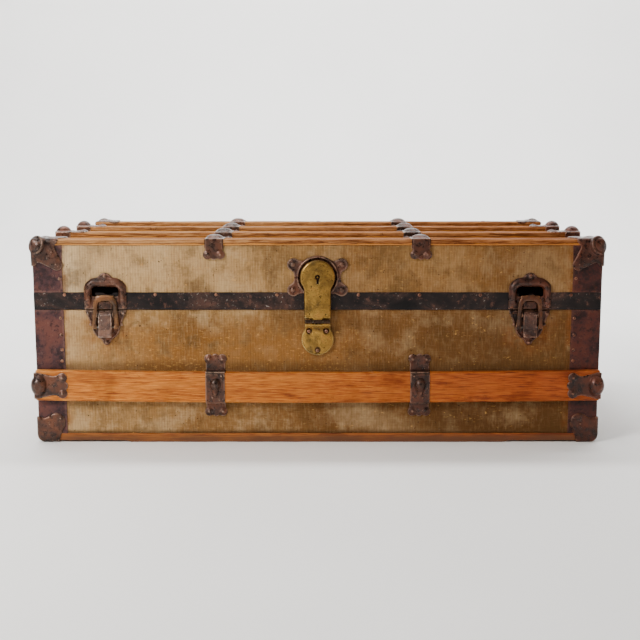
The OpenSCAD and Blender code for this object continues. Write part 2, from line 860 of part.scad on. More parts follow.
// A round foot on the end wall with a stud that carries an arm, headed on its inner end
module stay_bracket(p, stud_to) {
    rod_x(p[0], p[1], bracket_r, stay_wall_x - 1.5, stay_wall_x);
    rod_x(p[0], p[1], stay_pin_r, stud_to - 0.2, stay_wall_x - 1);
    rod_x(p[0], p[1], 4.2, stud_to - 1.2, stud_to - 0.2);
}

module stay_base_brackets() {
    color(steel) both_ends() stay_bracket(stay_base, stay_lower_x);
}

module stay_lid_brackets() {
    color(steel) both_ends() stay_bracket(stay_lid, stay_upper_x);
}

// A flat arm with round ends between two pivots; its face nearest the wall is at x + stay_arm_t
module stay_arm(x, a, b) {
    d = b - a;
    lean = atan2(d[1], d[0]);
    along_x(x, x + stay_arm_t) translate(a) rotate(lean) {
        circle(r = stay_arm_w / 2);
        translate([norm(d), 0]) circle(r = stay_arm_w / 2);
        translate([0, -stay_arm_w / 2]) square([norm(d), stay_arm_w]);
    }
}

// The lower arm turns on the base stud and carries the elbow rivet
module stay_lower_arm() {
    color(steel) difference() {
        union() {
            stay_arm(stay_lower_x, stay_base, stay_elbow);
            rod_x(stay_elbow[0], stay_elbow[1], stay_pin_r, stay_upper_x - 0.3, stay_lower_x + 1);
            rod_x(stay_elbow[0], stay_elbow[1], 4.2, stay_upper_x - 1.2, stay_upper_x - 0.2);
        }
        rod_x(stay_base[0], stay_base[1], stay_pin_r + pin_gap, 0, hw);
    }
}

// The upper arm turns on the elbow rivet; its hole on the lid stud is a loose one
module stay_upper_arm() {
    color(steel) difference() {
        stay_arm(stay_upper_x, stay_lid, stay_elbow);
        rod_x(stay_elbow[0], stay_elbow[1], stay_pin_r + pin_gap, 0, hw);
        rod_x(stay_lid[0], stay_lid[1], stay_pin_r + 0.8, 0, hw);
    }
}

module right_stay_lower_arm() {
    stay_lower_arm();
}

module right_stay_upper_arm() {
    stay_upper_arm();
}

module left_stay_lower_arm() {
    mirror([1, 0, 0]) stay_lower_arm();
}

module left_stay_upper_arm() {
    mirror([1, 0, 0]) stay_upper_arm();
}

// ---- Tray ---------------------------------------------------------------------------------------

module tray_cleats() {
    color(pine) both_ends()
        span([stay_wall_x - cleat_w, -id + 20, tray_z - cleat_h], [stay_wall_x, id - 20, tray_z]);
}

module tray_boards() {
    color(pine) {
        front_and_back() span([-tray_w, -tray_d, tray_z + tray_floor_t],
                              [tray_w, -tray_d + tray_t, tray_top_z]);
        both_ends() span([tray_w - tray_t, -tray_d + tray_t, tray_z + tray_floor_t],
                         [tray_w, tray_d - tray_t, tray_top_z]);
    }
}

module tray_floor() {
    color(pine) span([-tray_w, -tray_d, tray_z], [tray_w, tray_d, tray_z + tray_floor_t]);
}

module tray_dividers() {
    color(pine) both_ends() span([divider_x - tray_t / 2, -tray_d + tray_t, tray_z + tray_floor_t],
                                 [divider_x + tray_t / 2, tray_d - tray_t, tray_top_z - 4]);
}

// Cotton pull tapes tacked inside the tray's ends
module tray_tapes() {
    color(tape) both_ends() for (y = [-60, 60])
        span([tray_w - tray_t - 1.5, y - 12.5, tray_z + 25], [tray_w - tray_t, y + 12.5, tray_top_z - 6]);
}

// ---- Nodes --------------------------------------------------------------------------------------

base_front_board();
base_back_board();
base_end_boards();
base_floor_board();
base_canvas();
base_lining();
base_corner_bindings();
bottom_slats();
front_slat();
back_slat();
slat_end_clamps();
slat_clamps();
base_corner_caps();
draw_bolt_plates();
draw_bolt_lever_pins();
lock_catch_plate();
lock_hinge_pin();
hinge_base_leaves();
hinge_pins();
left_handle_strap();
right_handle_strap();
handle_end_caps();
base_nails();
tray_cleats();
stay_base_brackets();
lid_front_board();
lid_back_board();
lid_end_boards();
lid_top_board();
lid_canvas();
lid_lining();
lid_band();
lid_corner_bindings();
top_slats();
top_slat_clamps();
top_edge_clamps();
top_slat_end_clamps();
lid_corner_caps();
draw_bolt_keepers();
lock_ring_plate();
hinge_lid_leaves();
lid_nails();
stay_lid_brackets();
left_draw_bolt_lever();
right_draw_bolt_lever();
left_draw_bolt_hook();
right_draw_bolt_hook();
left_hook_pin();
right_hook_pin();
lock_hasp();
lock_bolt();
left_stay_lower_arm();
left_stay_upper_arm();
right_stay_lower_arm();
right_stay_upper_arm();
tray_boards();
tray_floor();
tray_dividers();
tray_tapes();
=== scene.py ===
"""The steamer trunk's looks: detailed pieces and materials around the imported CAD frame.

Lengths inside this script are millimetres in the row frame (+X right, -Y front, +Z up), and
every mesh is scaled to metres when its object is made.
"""
import json
import math

import bmesh
import bpy
import numpy as np
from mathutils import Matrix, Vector


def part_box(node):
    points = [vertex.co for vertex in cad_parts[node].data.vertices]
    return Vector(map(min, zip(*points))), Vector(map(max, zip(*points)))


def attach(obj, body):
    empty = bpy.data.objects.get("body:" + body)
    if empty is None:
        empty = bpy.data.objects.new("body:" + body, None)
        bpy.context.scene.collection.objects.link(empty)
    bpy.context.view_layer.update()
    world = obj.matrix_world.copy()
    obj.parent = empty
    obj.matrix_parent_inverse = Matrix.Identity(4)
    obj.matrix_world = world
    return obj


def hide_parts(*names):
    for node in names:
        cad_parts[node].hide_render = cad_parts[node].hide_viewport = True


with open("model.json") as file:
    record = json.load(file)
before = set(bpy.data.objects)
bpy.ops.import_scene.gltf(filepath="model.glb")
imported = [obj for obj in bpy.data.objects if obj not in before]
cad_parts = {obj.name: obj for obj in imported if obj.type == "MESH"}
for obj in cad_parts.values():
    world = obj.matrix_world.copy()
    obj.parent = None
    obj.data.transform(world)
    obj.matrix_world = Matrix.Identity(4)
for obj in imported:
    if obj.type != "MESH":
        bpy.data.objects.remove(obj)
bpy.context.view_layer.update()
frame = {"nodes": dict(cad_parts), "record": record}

MM = 0.001


def corners(node):
    """Lowest and highest corner of a CAD node, in millimetres."""
    low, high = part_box(node)
    return np.array(low) / MM, np.array(high) / MM


# ---- Main sizes, from the frame ----------------------------------------------------------------

HALF_W, HALF_D, RIM_Z = corners("base_canvas")[1]
FLOOR_EDGE_Z = corners("base_canvas")[0][2]
LID_TOP_Z = corners("lid_canvas")[1][2]
SEAM_Z = corners("lid_band")[0][2]
BAND_TOP_Z = corners("lid_band")[1][2]
TRIM_W, TRIM_D, TRUNK_H = corners("top_slats")[1]
BINDING_D = corners("lid_corner_bindings")[1][1]
SLAT_LOW, SLAT_HIGH = corners("front_slat")
SLAT_Z = (SLAT_LOW[2] + SLAT_HIGH[2]) / 2
SLAT_FACE = -SLAT_LOW[1]
CLAMP_W = 34
CLAMP_X = corners("top_edge_clamps")[1][0] - CLAMP_W / 2
# Heights of the draw bolts' windows, of the lock's keyhole and of the hasp's knuckle
WINDOW_Z = 250.8
RING_Z = 273.0
KNUCKLE_Z = 202.2
CATCH_NAILS = [(-13.5, 185.0), (13.8, 185.4), (0.4, 155.0)]
BOLT_X = sum(corner[0] for corner in corners("right_draw_bolt_lever")) / 2

# ---- Fields: numpy arrays of signed distance, negative inside ----------------------------------


def smooth_min(a, b, k):
    """Union of two fields with a fillet about k wide."""
    h = np.clip(0.5 + 0.5 * (b - a) / k, 0, 1)
    return b + (a - b) * h - k * h * (1 - h)


def smooth_max(a, b, k):
    return -smooth_min(-a, -b, k)


def disc(a, b, centre, radius):
    return np.hypot(a - centre[0], b - centre[1]) - radius


def rect(a, b, low, high, rounding=0.0):
    """Distance to a rectangle with rounded corners, in the plane of a and b."""
    qa = np.abs(a - (low[0] + high[0]) / 2) - (high[0] - low[0]) / 2 + rounding
    qb = np.abs(b - (low[1] + high[1]) / 2) - (high[1] - low[1]) / 2 + rounding
    outside = np.hypot(np.maximum(qa, 0), np.maximum(qb, 0))
    return outside + np.minimum(np.maximum(qa, qb), 0) - rounding


def taper(a, b, p, q, rp, rq):
    """Distance to a stroke from p to q whose radius goes from rp to rq."""
    da, db = q[0] - p[0], q[1] - p[1]
    t = np.clip(((a - p[0]) * da + (b - p[1]) * db) / (da * da + db * db), 0, 1)
    return np.hypot(a - p[0] - t * da, b - p[1] - t * db) - (rp + (rq - rp) * t)


def ball(x, y, z, c, r):
    return np.sqrt((x - c[0]) ** 2 + (y - c[1]) ** 2 + (z - c[2]) ** 2) - r


def ridge(v, width):
    """1 where v is 0, falling off to both sides."""
    return np.exp(-(v / width) ** 2)


def egg(x, y, z, c, r):
    """Ellipsoid with half axes r."""
    qx, qy, qz = (x - c[0]) / r[0], (y - c[1]) / r[1], (z - c[2]) / r[2]
    k0 = np.sqrt(qx * qx + qy * qy + qz * qz)
    k1 = np.sqrt((qx / r[0]) ** 2 + (qy / r[1]) ** 2 + (qz / r[2]) ** 2)
    return k0 * (k0 - 1) / np.maximum(k1, 1e-6)


def block(x, y, z, low, high, rounding=0.0):
    q = [np.abs(v - (l + h) / 2) - (h - l) / 2 + rounding for v, l, h in zip((x, y, z), low, high)]
    outside = np.sqrt(sum(np.maximum(v, 0) ** 2 for v in q))
    return outside + np.minimum(np.maximum(np.maximum(q[0], q[1]), q[2]), 0) - rounding


def shell(v, low, high):
    """Distance to a sheet between two heights over a face; v runs in from that face."""
    return smooth_max(-v + low, v - high, 0.3)


def union(first, *others, k=0.0):
    """Union of fields, one after another, with fillets about k wide."""
    for other in others:
        first = smooth_min(first, other, k) if k else np.minimum(first, other)
    return first


def wobble(x, y, z, size, seed):
    """Smooth irregular value from -1 to 1, with features about `size` across."""
    rng = np.random.default_rng(seed)
    total = 0.0
    for _ in range(5):
        d = rng.normal(size=3)
        d *= 2 * math.pi / size / np.linalg.norm(d) * rng.uniform(0.6, 1.4)
        total = total + np.sin(x * d[0] + y * d[1] + z * d[2] + rng.uniform(0, 2 * math.pi))
    return total / 3.2


# ---- Meshes: (vertices, faces) with vertices in millimetres ------------------------------------


FINE = 0.9


def net(field, low, high, step=1.0):
    """Closed quad mesh of a field's zero level, by naive surface nets."""
    low = np.array(low, float)
    count = np.ceil((np.array(high, float) - low) / step).astype(int) + 1
    axes = [low[i] + step * np.arange(count[i]) for i in range(3)]
    value = field(*np.meshgrid(*axes, indexing="ij")).astype(np.float64)
    for axis in range(3):
        edge = np.moveaxis(value, axis, 0)
        edge[0] = np.maximum(edge[0], 0.01)
        edge[-1] = np.maximum(edge[-1], 0.01)
    inside = value < 0
    cells = tuple(count - 1)
    total = np.zeros(cells + (3,))
    hits = np.zeros(cells)
    index = np.stack(np.meshgrid(*[np.arange(n) for n in count], indexing="ij"), -1).astype(float)
    crossings = []
    for axis in range(3):
        near = [slice(None)] * 3
        far = [slice(None)] * 3
        near[axis], far[axis] = slice(0, -1), slice(1, None)
        a, b = value[tuple(near)], value[tuple(far)]
        cross = inside[tuple(near)] != inside[tuple(far)]
        point = index[tuple(near)].copy()
        point[..., axis] += np.where(cross, a / np.where(cross, a - b, 1), 0)
        point *= cross[..., None]
        others = [i for i in range(3) if i != axis]
        for du in (0, 1):
            for dv in (0, 1):
                pick = [slice(None)] * 3
                pick[others[0]] = slice(du, du + cells[others[0]])
                pick[others[1]] = slice(dv, dv + cells[others[1]])
                total += point[tuple(pick)]
                hits += cross[tuple(pick)]
        crossings.append((axis, np.argwhere(cross), inside[tuple(near)][cross]))
    active = hits > 0
    ids = np.full(cells, -1)
    ids[active] = np.arange(active.sum())
    vertices = low + step * total[active] / hits[active][:, None]
    faces = []
    for axis, where, lower_inside in crossings:
        b, c = (axis + 1) % 3, (axis + 2) % 3
        quad = []
        for sb, sc in ((0, 0), (1, 0), (1, 1), (0, 1)):
            cell = where.copy()
            cell[:, b] -= sb
            cell[:, c] -= sc
            quad.append(ids[cell[:, 0], cell[:, 1], cell[:, 2]])
        quad = np.stack(quad, -1)
        quad[~lower_inside] = quad[~lower_inside][:, ::-1]
        faces.append(quad)
    return vertices, np.concatenate(faces)


def tube(rings, closed=False):
    """Closed mesh through rings of points, shaped (rings, points, 3); its ends are capped."""
    rings = np.asarray(rings, float)
    n, m = rings.shape[:2]
    vertices = rings.reshape(-1, 3)
    i, j = np.meshgrid(np.arange(n if closed else n - 1), np.arange(m), indexing="ij")
    i, j = i.ravel(), j.ravel()
    i2, j2 = (i + 1) % n, (j + 1) % m
    faces = [list(f) for f in np.stack([i * m + j, i * m + j2, i2 * m + j2, i2 * m + j], -1)]
    if not closed:
        for ring, flip in ((0, True), (n - 1, False)):
            centre = len(vertices)
            vertices = np.vstack([vertices, rings[ring].mean(0)])
            for k in range(m):
                a, b = ring * m + k, ring * m + (k + 1) % m
                faces.append([centre, b, a] if flip else [centre, a, b])
    return vertices, faces


def mirrored(mesh, *axes):
    """Copy of a mesh with the given axes turned round."""
    vertices, faces = mesh[0].copy(), mesh[1]
    for axis in axes:
        vertices[:, axis] *= -1
    if len(axes) % 2:
        faces = [list(f)[::-1] for f in faces]
    return vertices, faces


def joined(meshes):
    """One mesh from several."""
    vertices, faces, start = [], [], 0
    for v, f in meshes:
        vertices.append(v)
        faces.extend([[int(k) + start for k in face] for face in f])
        start += len(v)
    return np.concatenate(vertices), faces


def set_out(mesh, at, turned=(1, 1, 1), order=(0, 1, 2)):
    """Mesh with its axes taken in order, turned round where -1, and its origin put at a point."""
    return mesh[0][:, order] * turned + at, mesh[1]


def both_ends(mesh):
    return joined([mesh, mirrored(mesh, 0)])


def front_and_back(mesh):
    return joined([mesh, mirrored(mesh, 1)])


def four_corners(mesh):
    return front_and_back(both_ends(mesh))


def placed(name, data):
    """New object in the scene that shows a mesh, a light or a camera."""
    obj = bpy.data.objects.new(name, data)
    bpy.context.scene.collection.objects.link(obj)
    return obj


def piece(name, mesh, body, material, replaces=(), sharp=None):
    """Object from a mesh in millimetres; it rides on a body and may stand for CAD nodes."""
    vertices, faces = mesh
    data = bpy.data.meshes.new(name)
    data.from_pydata((np.asarray(vertices) * MM).tolist(), [], [list(map(int, f)) for f in faces])
    data.materials.append(material)
    shape = bmesh.new()
    shape.from_mesh(data)
    bmesh.ops.recalc_face_normals(shape, faces=shape.faces)
    shape.to_mesh(data)
    shape.free()
    data.shade_smooth()
    if sharp is not None:
        data.set_sharp_from_angle(angle=math.radians(sharp))
    obj = placed(name, data)
    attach(obj, body)
    if replaces:
        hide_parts(*replaces)
    return obj


def fitting(name, mesh, body, node, iron=None):
    """A stamped iron piece that stands for one CAD node."""
    return piece(name, mesh, body, iron or FITTING, [node])


def solids(node):
    """Lowest and highest corner, in millimetres, of each separate solid of a CAD node."""
    mesh = frame["nodes"][node].data
    co = np.array([v.co for v in mesh.vertices]) / MM
    _, same = np.unique(np.round(co, 2), axis=0, return_inverse=True)
    same = same.ravel()
    label = np.arange(same.max() + 1)
    edges = np.array([e.vertices[:] for e in mesh.edges])
    a, b = same[edges[:, 0]], same[edges[:, 1]]
    while True:
        low = np.minimum(label[a], label[b])
        fresh = label.copy()
        np.minimum.at(fresh, a, low)
        np.minimum.at(fresh, b, low)
        fresh = fresh[fresh]
        if (fresh == label).all():
            break
        label = fresh
    owner = label[same]
    return [(co[owner == k].min(0), co[owner == k].max(0)) for k in np.unique(owner)]


# ---- Materials ---------------------------------------------------------------------------------

RIB_PITCH = 0.0042      # of the canvas, in metres
STRIPE_PITCH = 0.012    # of the lining paper, in metres
SLAT_TOP = 0.126        # height of the front slat's top, where dirt lies, in metres
FOOT = 0.017            # height of the canvas's foot, where a painted shadow line lies, in metres
HORIZON = 1.8           # glow of the far studio, for the camera only
ROOM_LIGHT = 0.3        # even light from all round


def paint(text):
    """Linear RGBA from an sRGB hex colour."""
    parts = [int(text[i:i + 2], 16) / 255 for i in (0, 2, 4)]
    return [p / 12.92 if p <= 0.04045 else ((p + 0.055) / 1.055) ** 2.4 for p in parts] + [1.0]


class Shade:
    """A node material under construction, with short names for the nodes it uses."""

    def __init__(self, name, rough=0.6, metal=0.0, **sockets):
        self.material = bpy.data.materials.new(name)
        self.material.use_nodes = True
        self.tree = self.material.node_tree
        self.shader = self.tree.nodes["Principled BSDF"]
        self.shader.inputs["Roughness"].default_value = rough
        self.shader.inputs["Metallic"].default_value = metal
        for key, value in sockets.items():
            self.shader.inputs[key.replace("_", " ")].default_value = value
        coordinates = self.tree.nodes.new("ShaderNodeTexCoord")
        self.place = coordinates.outputs["Object"]
        self.facing = coordinates.outputs["Normal"]

    def node(self, kind, values=(), **settings):
        """New node; a value that is a socket is linked, and any other is set."""
        made = self.tree.nodes.new(kind)
        for key, value in settings.items():
            setattr(made, key, value)
        for key, value in dict(values).items():
            if isinstance(value, bpy.types.NodeSocket):
                self.tree.links.new(value, made.inputs[key])
            else:
                made.inputs[key].default_value = value
        return made

    def stretch(self, x, y, z, at=None, shift=(0, 0, 0)):
        values = {"Vector": at or self.place, "Scale": (x, y, z), "Location": shift}
        return self.node("ShaderNodeMapping", values).outputs[0]

    def noise(self, scale, detail=4.0, rough=0.55, at=None, bend=0.0):
        values = {"Vector": at or self.place, "Scale": scale, "Detail": detail,
                  "Roughness": rough, "Distortion": bend}
        return self.node("ShaderNodeTexNoise", values).outputs["Fac"]

    def cells(self, scale, at=None, feature="F1"):
        values = {"Vector": at or self.place, "Scale": scale}
        return self.node("ShaderNodeTexVoronoi", values, feature=feature).outputs["Distance"]

    def math(self, operation, a, b=0.0):
        return self.node("ShaderNodeMath", {0: a, 1: b}, operation=operation).outputs[0]

    def chain(self, operation, first, *others):
        for other in others:
            first = self.math(operation, first, other)
        return first

    def times(self, *values):
        return self.chain("MULTIPLY", *values)

    def plus(self, *values):
        return self.chain("ADD", *values)

    def most(self, *values):
        return self.chain("MAXIMUM", *values)

    def minus(self, a, b):
        return self.math("SUBTRACT", a, b)

    def size(self, value):
        return self.math("ABSOLUTE", value)

    def sine(self, value):
        return self.math("SINE", value)

    def band(self, value, low, high, a=0.0, b=1.0):
        """Smoothly from a to b as value goes from low to high."""
        values = {"Value": value, "From Min": low, "From Max": high, "To Min": a, "To Max": b}
        made = self.node("ShaderNodeMapRange", values)
        made.interpolation_type = "SMOOTHSTEP"
        return made.outputs[0]

    def around(self, value, middle, outer, inner=0.0):
        """1 where the value is within inner of the middle, 0 from outer on."""
        return self.band(self.size(self.minus(value, middle)), outer, inner)

    def ramp(self, value, *stops):
        made = self.node("ShaderNodeValToRGB", {"Fac": value})
        elements = made.color_ramp.elements
        elements[0].position, elements[0].color = stops[0][0], paint(stops[0][1])
        elements[1].position, elements[1].color = stops[-1][0], paint(stops[-1][1])
        for position, colour in stops[1:-1]:
            elements.new(position).color = paint(colour)
        return made.outputs["Color"]

    def mix(self, share, a, b, way="MIX"):
        made = self.node("ShaderNodeMix", data_type="RGBA", blend_type=way)
        for key, value in ((0, share), (6, a), (7, b)):
            if isinstance(value, str):
                value = paint(value)
            if isinstance(value, bpy.types.NodeSocket):
                self.tree.links.new(value, made.inputs[key])
            else:
                made.inputs[key].default_value = value
        return made.outputs[2]

    def layers(self, colour, *coats):
        """Each coat is (its share, its colour), laid over what is under it."""
        for share, coat in coats:
            colour = self.mix(share, colour, coat)
        return colour

    def parts(self, vector=None):
        return self.node("ShaderNodeSeparateXYZ", {"Vector": vector or self.place}).outputs

    def walls(self):
        """Distance along a wall in metres: y on the two ends, x on every other face."""
        x, y, _ = self.parts()
        across = self.size(self.parts(self.facing)[0])
        on_end = self.math("GREATER_THAN", across, 0.7)
        return self.plus(self.times(y, on_end), self.times(x, self.minus(1.0, on_end)))

    def edges(self, low=0.52, high=0.6):
        """1 on raised edges and bumps, 0 elsewhere."""
        return self.band(self.node("ShaderNodeNewGeometry").outputs["Pointiness"], low, high)

    def shade_and_grime_in_creases(self, low=0.43, high=0.485):
        """1 in tight hollows and creases, where painted shade and grime go."""
        return self.band(self.node("ShaderNodeNewGeometry").outputs["Pointiness"], high, low)

    def near(self, point, radius):
        """1 at a point given in metres, falling to 0 at the radius."""
        away = self.node("ShaderNodeVectorMath", {0: self.place, 1: point}, operation="DISTANCE")
        return self.band(away.outputs["Value"], 0.0, radius, 1.0, 0.0)

    def finish(self, colour, height=None, distance=0.0005, rough=None):
        """Links the colour, the relief (in metres of distance) and the roughness."""
        self.tree.links.new(colour, self.shader.inputs["Base Color"])
        if rough is not None:
            self.tree.links.new(rough, self.shader.inputs["Roughness"])
        if height is not None:
            values = {"Height": height, "Distance": distance, "Strength": 1.0}
            bump = self.node("ShaderNodeBump", values)
            self.tree.links.new(bump.outputs[0], self.shader.inputs["Normal"])
        return self.material


def canvas_material():
    """Ribbed duck: broken upright ribs, stains, rust halos by the iron, scuffs and frays."""
    s = Shade("canvas", rough=0.92, Specular_IOR_Level=0.15)
    x, _, z = s.parts()
    sway = s.times(s.noise(9.0, 2.0), 0.004)
    rib = s.sine(s.times(s.plus(s.walls(), sway), 2 * math.pi / RIB_PITCH))
    slub = s.noise(1.0, 5.0, 0.6, at=s.stretch(330, 330, 75))
    cross = s.noise(1.0, 4.0, 0.6, at=s.stretch(60, 60, 480))
    soft = s.noise(5.5, 5.0, 0.6)
    blot = s.noise(22.0, 7.0, 0.62)
    fleck = s.noise(1.0, 4.0, 0.7, at=s.stretch(150, 150, 330))

    # Paler at the left and on the lid, browner to the right, on the base and low down: own tone
    # together with painted light and shade, as if lit from the upper left
    light_and_tone = s.plus(s.times(x, 0.87), s.band(z, 0.2, 0.25, 0.63, 0.42),
                 s.band(z, 0.13, 0.09, 0.0, 0.09), s.band(x, -0.15, 0.05, 0.0, 0.05))
    light_and_tone = s.minus(light_and_tone, s.band(x, 0.22, 0.4, 0.0, 0.07))
    light_and_tone = s.plus(light_and_tone, s.times(s.minus(soft, 0.5), 0.8))
    colour = s.ramp(light_and_tone, (0.0, "CDB48E"), (0.2, "B29165"), (0.42, "926E42"), (0.6, "7B562E"),
                    (0.8, "684522"), (1.0, "523417"))
    # Lighter and darker clouds, blots and threads, the lighter ones fainter towards the right,
    # where the cloth is dark with painted shade
    faint_in_right_shade = s.band(x, -0.4, 0.3, 1.0, 0.35)
    cloud = s.noise(10.0, 5.0, 0.6)
    patterns = ((cloud, 0.5, 0.45), (blot, 0.5, 0.5), (slub, 0.2, 0.2), (cross, 0.13, 0.12))
    for pattern, pale, deep in patterns:
        lit = s.times(s.band(pattern, 0.5, 0.67, 0.0, pale), faint_in_right_shade)
        shaded = s.band(pattern, 0.5, 0.35, 0.0, deep)
        colour = s.layers(colour, (lit, "C3A579"), (shaded, "4C3317"))
    # A golden brown stain over the foot of the front
    stain = s.times(s.band(z, 0.215, 0.165), s.band(z, 0.108, 0.126),
                    s.around(x, -0.14, 0.28, 0.12), s.band(blot, 0.34, 0.54))
    # Rust has bled from the draw bolts and the bindings
    halo = s.most(s.near((-BOLT_X * MM, -HALF_D * MM, 0.195), 0.07),
                  s.near((BOLT_X * MM, -HALF_D * MM, 0.190), 0.065),
                  s.times(s.band(s.size(x), 0.396, 0.412), 0.8))
    halo = s.times(halo, s.band(s.noise(48.0, 5.0, 0.7), 0.36, 0.62))
    # Dirt gathers over and under the front slat; along the floor a painted shadow line marks the
    # canvas's seam with the bottom slat
    ledge_dirt_and_foot_shade = s.most(s.around(z, SLAT_TOP, 0.016), s.around(z, FOOT, 0.006))
    grime = s.most(s.band(s.noise(15.0, 6.0, 0.7, bend=1.0), 0.54, 0.72, 0.0, 0.5),
                   s.times(ledge_dirt_and_foot_shade, s.band(blot, 0.3, 0.6, 0.2, 0.7)))
    scuff = s.noise(1.0, 3.0, 0.6, at=s.stretch(30, 30, 60), bend=1.5)
    patch = s.most(s.band(scuff, 0.54, 0.66), s.times(stain, 0.8))
    fray = s.times(s.band(fleck, 0.56, 0.66), patch)
    speck = s.band(s.noise(240.0, 2.0), 0.71, 0.75)
    # Darker rib troughs are painted shade between the ribs
    colour = s.layers(colour, (s.band(rib, 0.0, -0.8, 0.0, 0.12), "452C13"),
                      (s.times(stain, 0.6), "7E4F1C"), (s.times(halo, 0.8), "75401A"),
                      (grime, "4C3319"), (s.times(fray, 0.6), "CF9C56"), (speck, "2B1A0E"))
    height = s.plus(s.times(rib, 0.2), s.times(slub, 0.8), s.times(cross, 0.5), s.times(fray, 0.7))
    return s.finish(colour, height, 0.0006)


def wood_material(name, light, mid, dark, grime=0.6, shine=0.55, along=0, seed=0.0, chipped=0.0,
                  gloss=0.22, wear=0.5, right_shade_and_soil=1.0):
    """Straight grain with darker late-wood lines, blotchy varnish, worn edges and small knots."""
    s = Shade(name, rough=shine, Specular_IOR_Level=gloss)
    squeeze = [9.0, 9.0, 9.0]
    squeeze[along] = 0.5
    grain_at = s.stretch(*squeeze, shift=(seed, seed * 1.7, seed * 0.6))
    flow = s.noise(5.0, 3.0, 0.5, at=grain_at, bend=0.6)
    lines = s.noise(56.0, 6.0, 0.65, at=grain_at, bend=0.5)
    pore_scale = [1100.0, 1100.0, 1100.0]
    pore_scale[along] = 28.0
    pores = s.noise(1.0, 2.0, 0.6, at=s.stretch(*pore_scale))
    blot = s.noise(14.0, 5.0, 0.6)
    colour = s.ramp(lines, (0.36, dark), (0.47, mid), (0.6, light))
    dirt = s.band(s.noise(60.0, 6.0, 0.75), 0.6, 0.72, 0.0, grime)
    worn = s.times(s.edges(0.505, 0.55), s.band(s.noise(70.0, 4.0), 0.4, 0.58))
    x, _, z = s.parts()
    # Splintered lower edge of a top slat, under a line of dirt
    ragged = s.times(s.noise(1.0, 4.0, 0.65, at=s.stretch(22, 60, 60)), 0.006)
    split = s.minus(s.plus(z, ragged), LID_TOP_Z * MM)
    colour = s.layers(colour, (s.band(flow, 0.5, 0.64, 0.0, 0.4), light),
                      (s.band(flow, 0.5, 0.36, 0.0, 0.35), dark),
                      (s.band(pores, 0.46, 0.34, 0.0, 0.6), dark),
                      (s.band(blot, 0.5, 0.72, 0.0, 0.55), dark),
                      (dirt, "2A160C"), (s.times(worn, wear), "DDA25C"),
                      (s.band(split, 0.0072, 0.0062, 0.0, 0.75 * chipped), "47230F"),
                      (s.band(split, 0.0058, 0.0050, 0.0, 0.8 * chipped), "D0904A"))
    # Painted shade: darker towards the right, as if lit from the left
    colour = s.mix(s.band(x, -0.42, 0.42, 0.0, right_shade_and_soil), colour, "C89E78", "MULTIPLY")
    soiled = s.times(s.band(z, 0.019, 0.006, 0.0, min(1.0, 2 * right_shade_and_soil)),
                     s.band(blot, 0.3, 0.6, 0.7, 0.95))
    colour = s.mix(soiled, colour, "5E3D28")
    height = s.plus(s.times(lines, 0.7), s.times(pores, 0.5))
    rough = s.band(blot, 0.35, 0.7, shine - 0.08, shine + 0.22)
    return s.finish(colour, height, 0.0004, rough)


def iron_material(name, deep, mid, warm, pale, metal=0.35, wear=0.75, pits=1.0, shine=0.38,
                  flakes=0.4, patches=26.0, gloss=0.5):
    """Rusted or painted sheet iron: layered blotches, pits, rubbed edges that are partly a painted
    highlight.
    """
    s = Shade(name, rough=0.55, metal=metal, Specular_IOR_Level=gloss)
    big = s.noise(patches, 7.0, 0.62, bend=0.4)
    small = s.noise(120.0, 6.0, 0.7)
    grit = s.noise(520.0, 4.0, 0.65)
    colour = s.ramp(big, (0.38, deep), (0.5, mid), (0.62, warm))
    flake = s.times(s.band(s.noise(90.0, 5.0, 0.7), 0.56, 0.66), s.band(grit, 0.46, 0.62))
    # Pale rubbed edges and dome tops: wear, and partly a painted highlight
    rub_and_highlight = s.times(s.edges(0.506, 0.555), s.band(small, 0.36, 0.56))
    colour = s.layers(colour, (s.band(small, 0.48, 0.66, 0.0, 0.55), warm),
                      (s.band(small, 0.5, 0.36, 0.0, 0.7), deep), (s.times(flake, flakes), pale),
                      # Painted shade with grime in the creases
                      (s.times(rub_and_highlight, wear), pale), (s.shade_and_grime_in_creases(), "120A07"))
    x, y, z = s.parts()
    # Painted shade: darker towards the right, as if lit from the left
    colour = s.mix(s.band(x, -0.25, 0.45, 0.0, 0.7), colour, "C08A6C", "MULTIPLY")
    # The windows of the draw bolts' keepers are painted near-black as painted shade, with no gloss
    # or metal there
    window_shade = s.times(s.around(s.size(x), BOLT_X * MM, 0.0225, 0.021),
                   s.around(z, WINDOW_Z * MM, 0.0105, 0.0088),
                   s.band(y, -(TRIM_D + 0.6) * MM, -(TRIM_D + 0.1) * MM), s.band(y, 0.0, -0.1))
    colour = s.mix(window_shade, colour, "030202")
    s.tree.links.new(s.band(window_shade, 0.0, 1.0, gloss, 0.0), s.shader.inputs["Specular IOR Level"])
    s.tree.links.new(s.band(window_shade, 0.0, 1.0, metal, 0.0), s.shader.inputs["Metallic"])
    height = s.plus(s.times(small, 0.9), s.times(grit, 0.5 * pits))
    rough = s.band(small, 0.35, 0.65, shine - 0.1, shine + 0.2)
    return s.finish(colour, height, 0.0004 * pits, rough)


def band_material():
    """Black japan over iron, chipped to rust and bare grey metal."""
    s = Shade("band_iron", rough=0.6, Specular_IOR_Level=0.18)
    big = s.noise(13.0, 6.0, 0.66, at=s.stretch(1, 1, 1.6), bend=0.5)
    small = s.noise(95.0, 6.0, 0.72)
    colour = s.ramp(big, (0.38, "0E0B0C"), (0.5, "1D1615"), (0.58, "33241F"), (0.68, "4E342B"))
    chip = s.times(s.band(s.noise(210.0, 5.0, 0.7), 0.6, 0.66), s.band(big, 0.44, 0.6))
    colour = s.layers(colour, (s.band(small, 0.55, 0.68, 0.0, 0.75), "583A2F"),
                      (s.band(small, 0.42, 0.34, 0.0, 0.8), "080707"),
                      (s.times(chip, 0.7), "9A8E86"))
    return s.finish(colour, s.minus(small, chip), 0.0003, s.band(big, 0.35, 0.65, 0.38, 0.66))


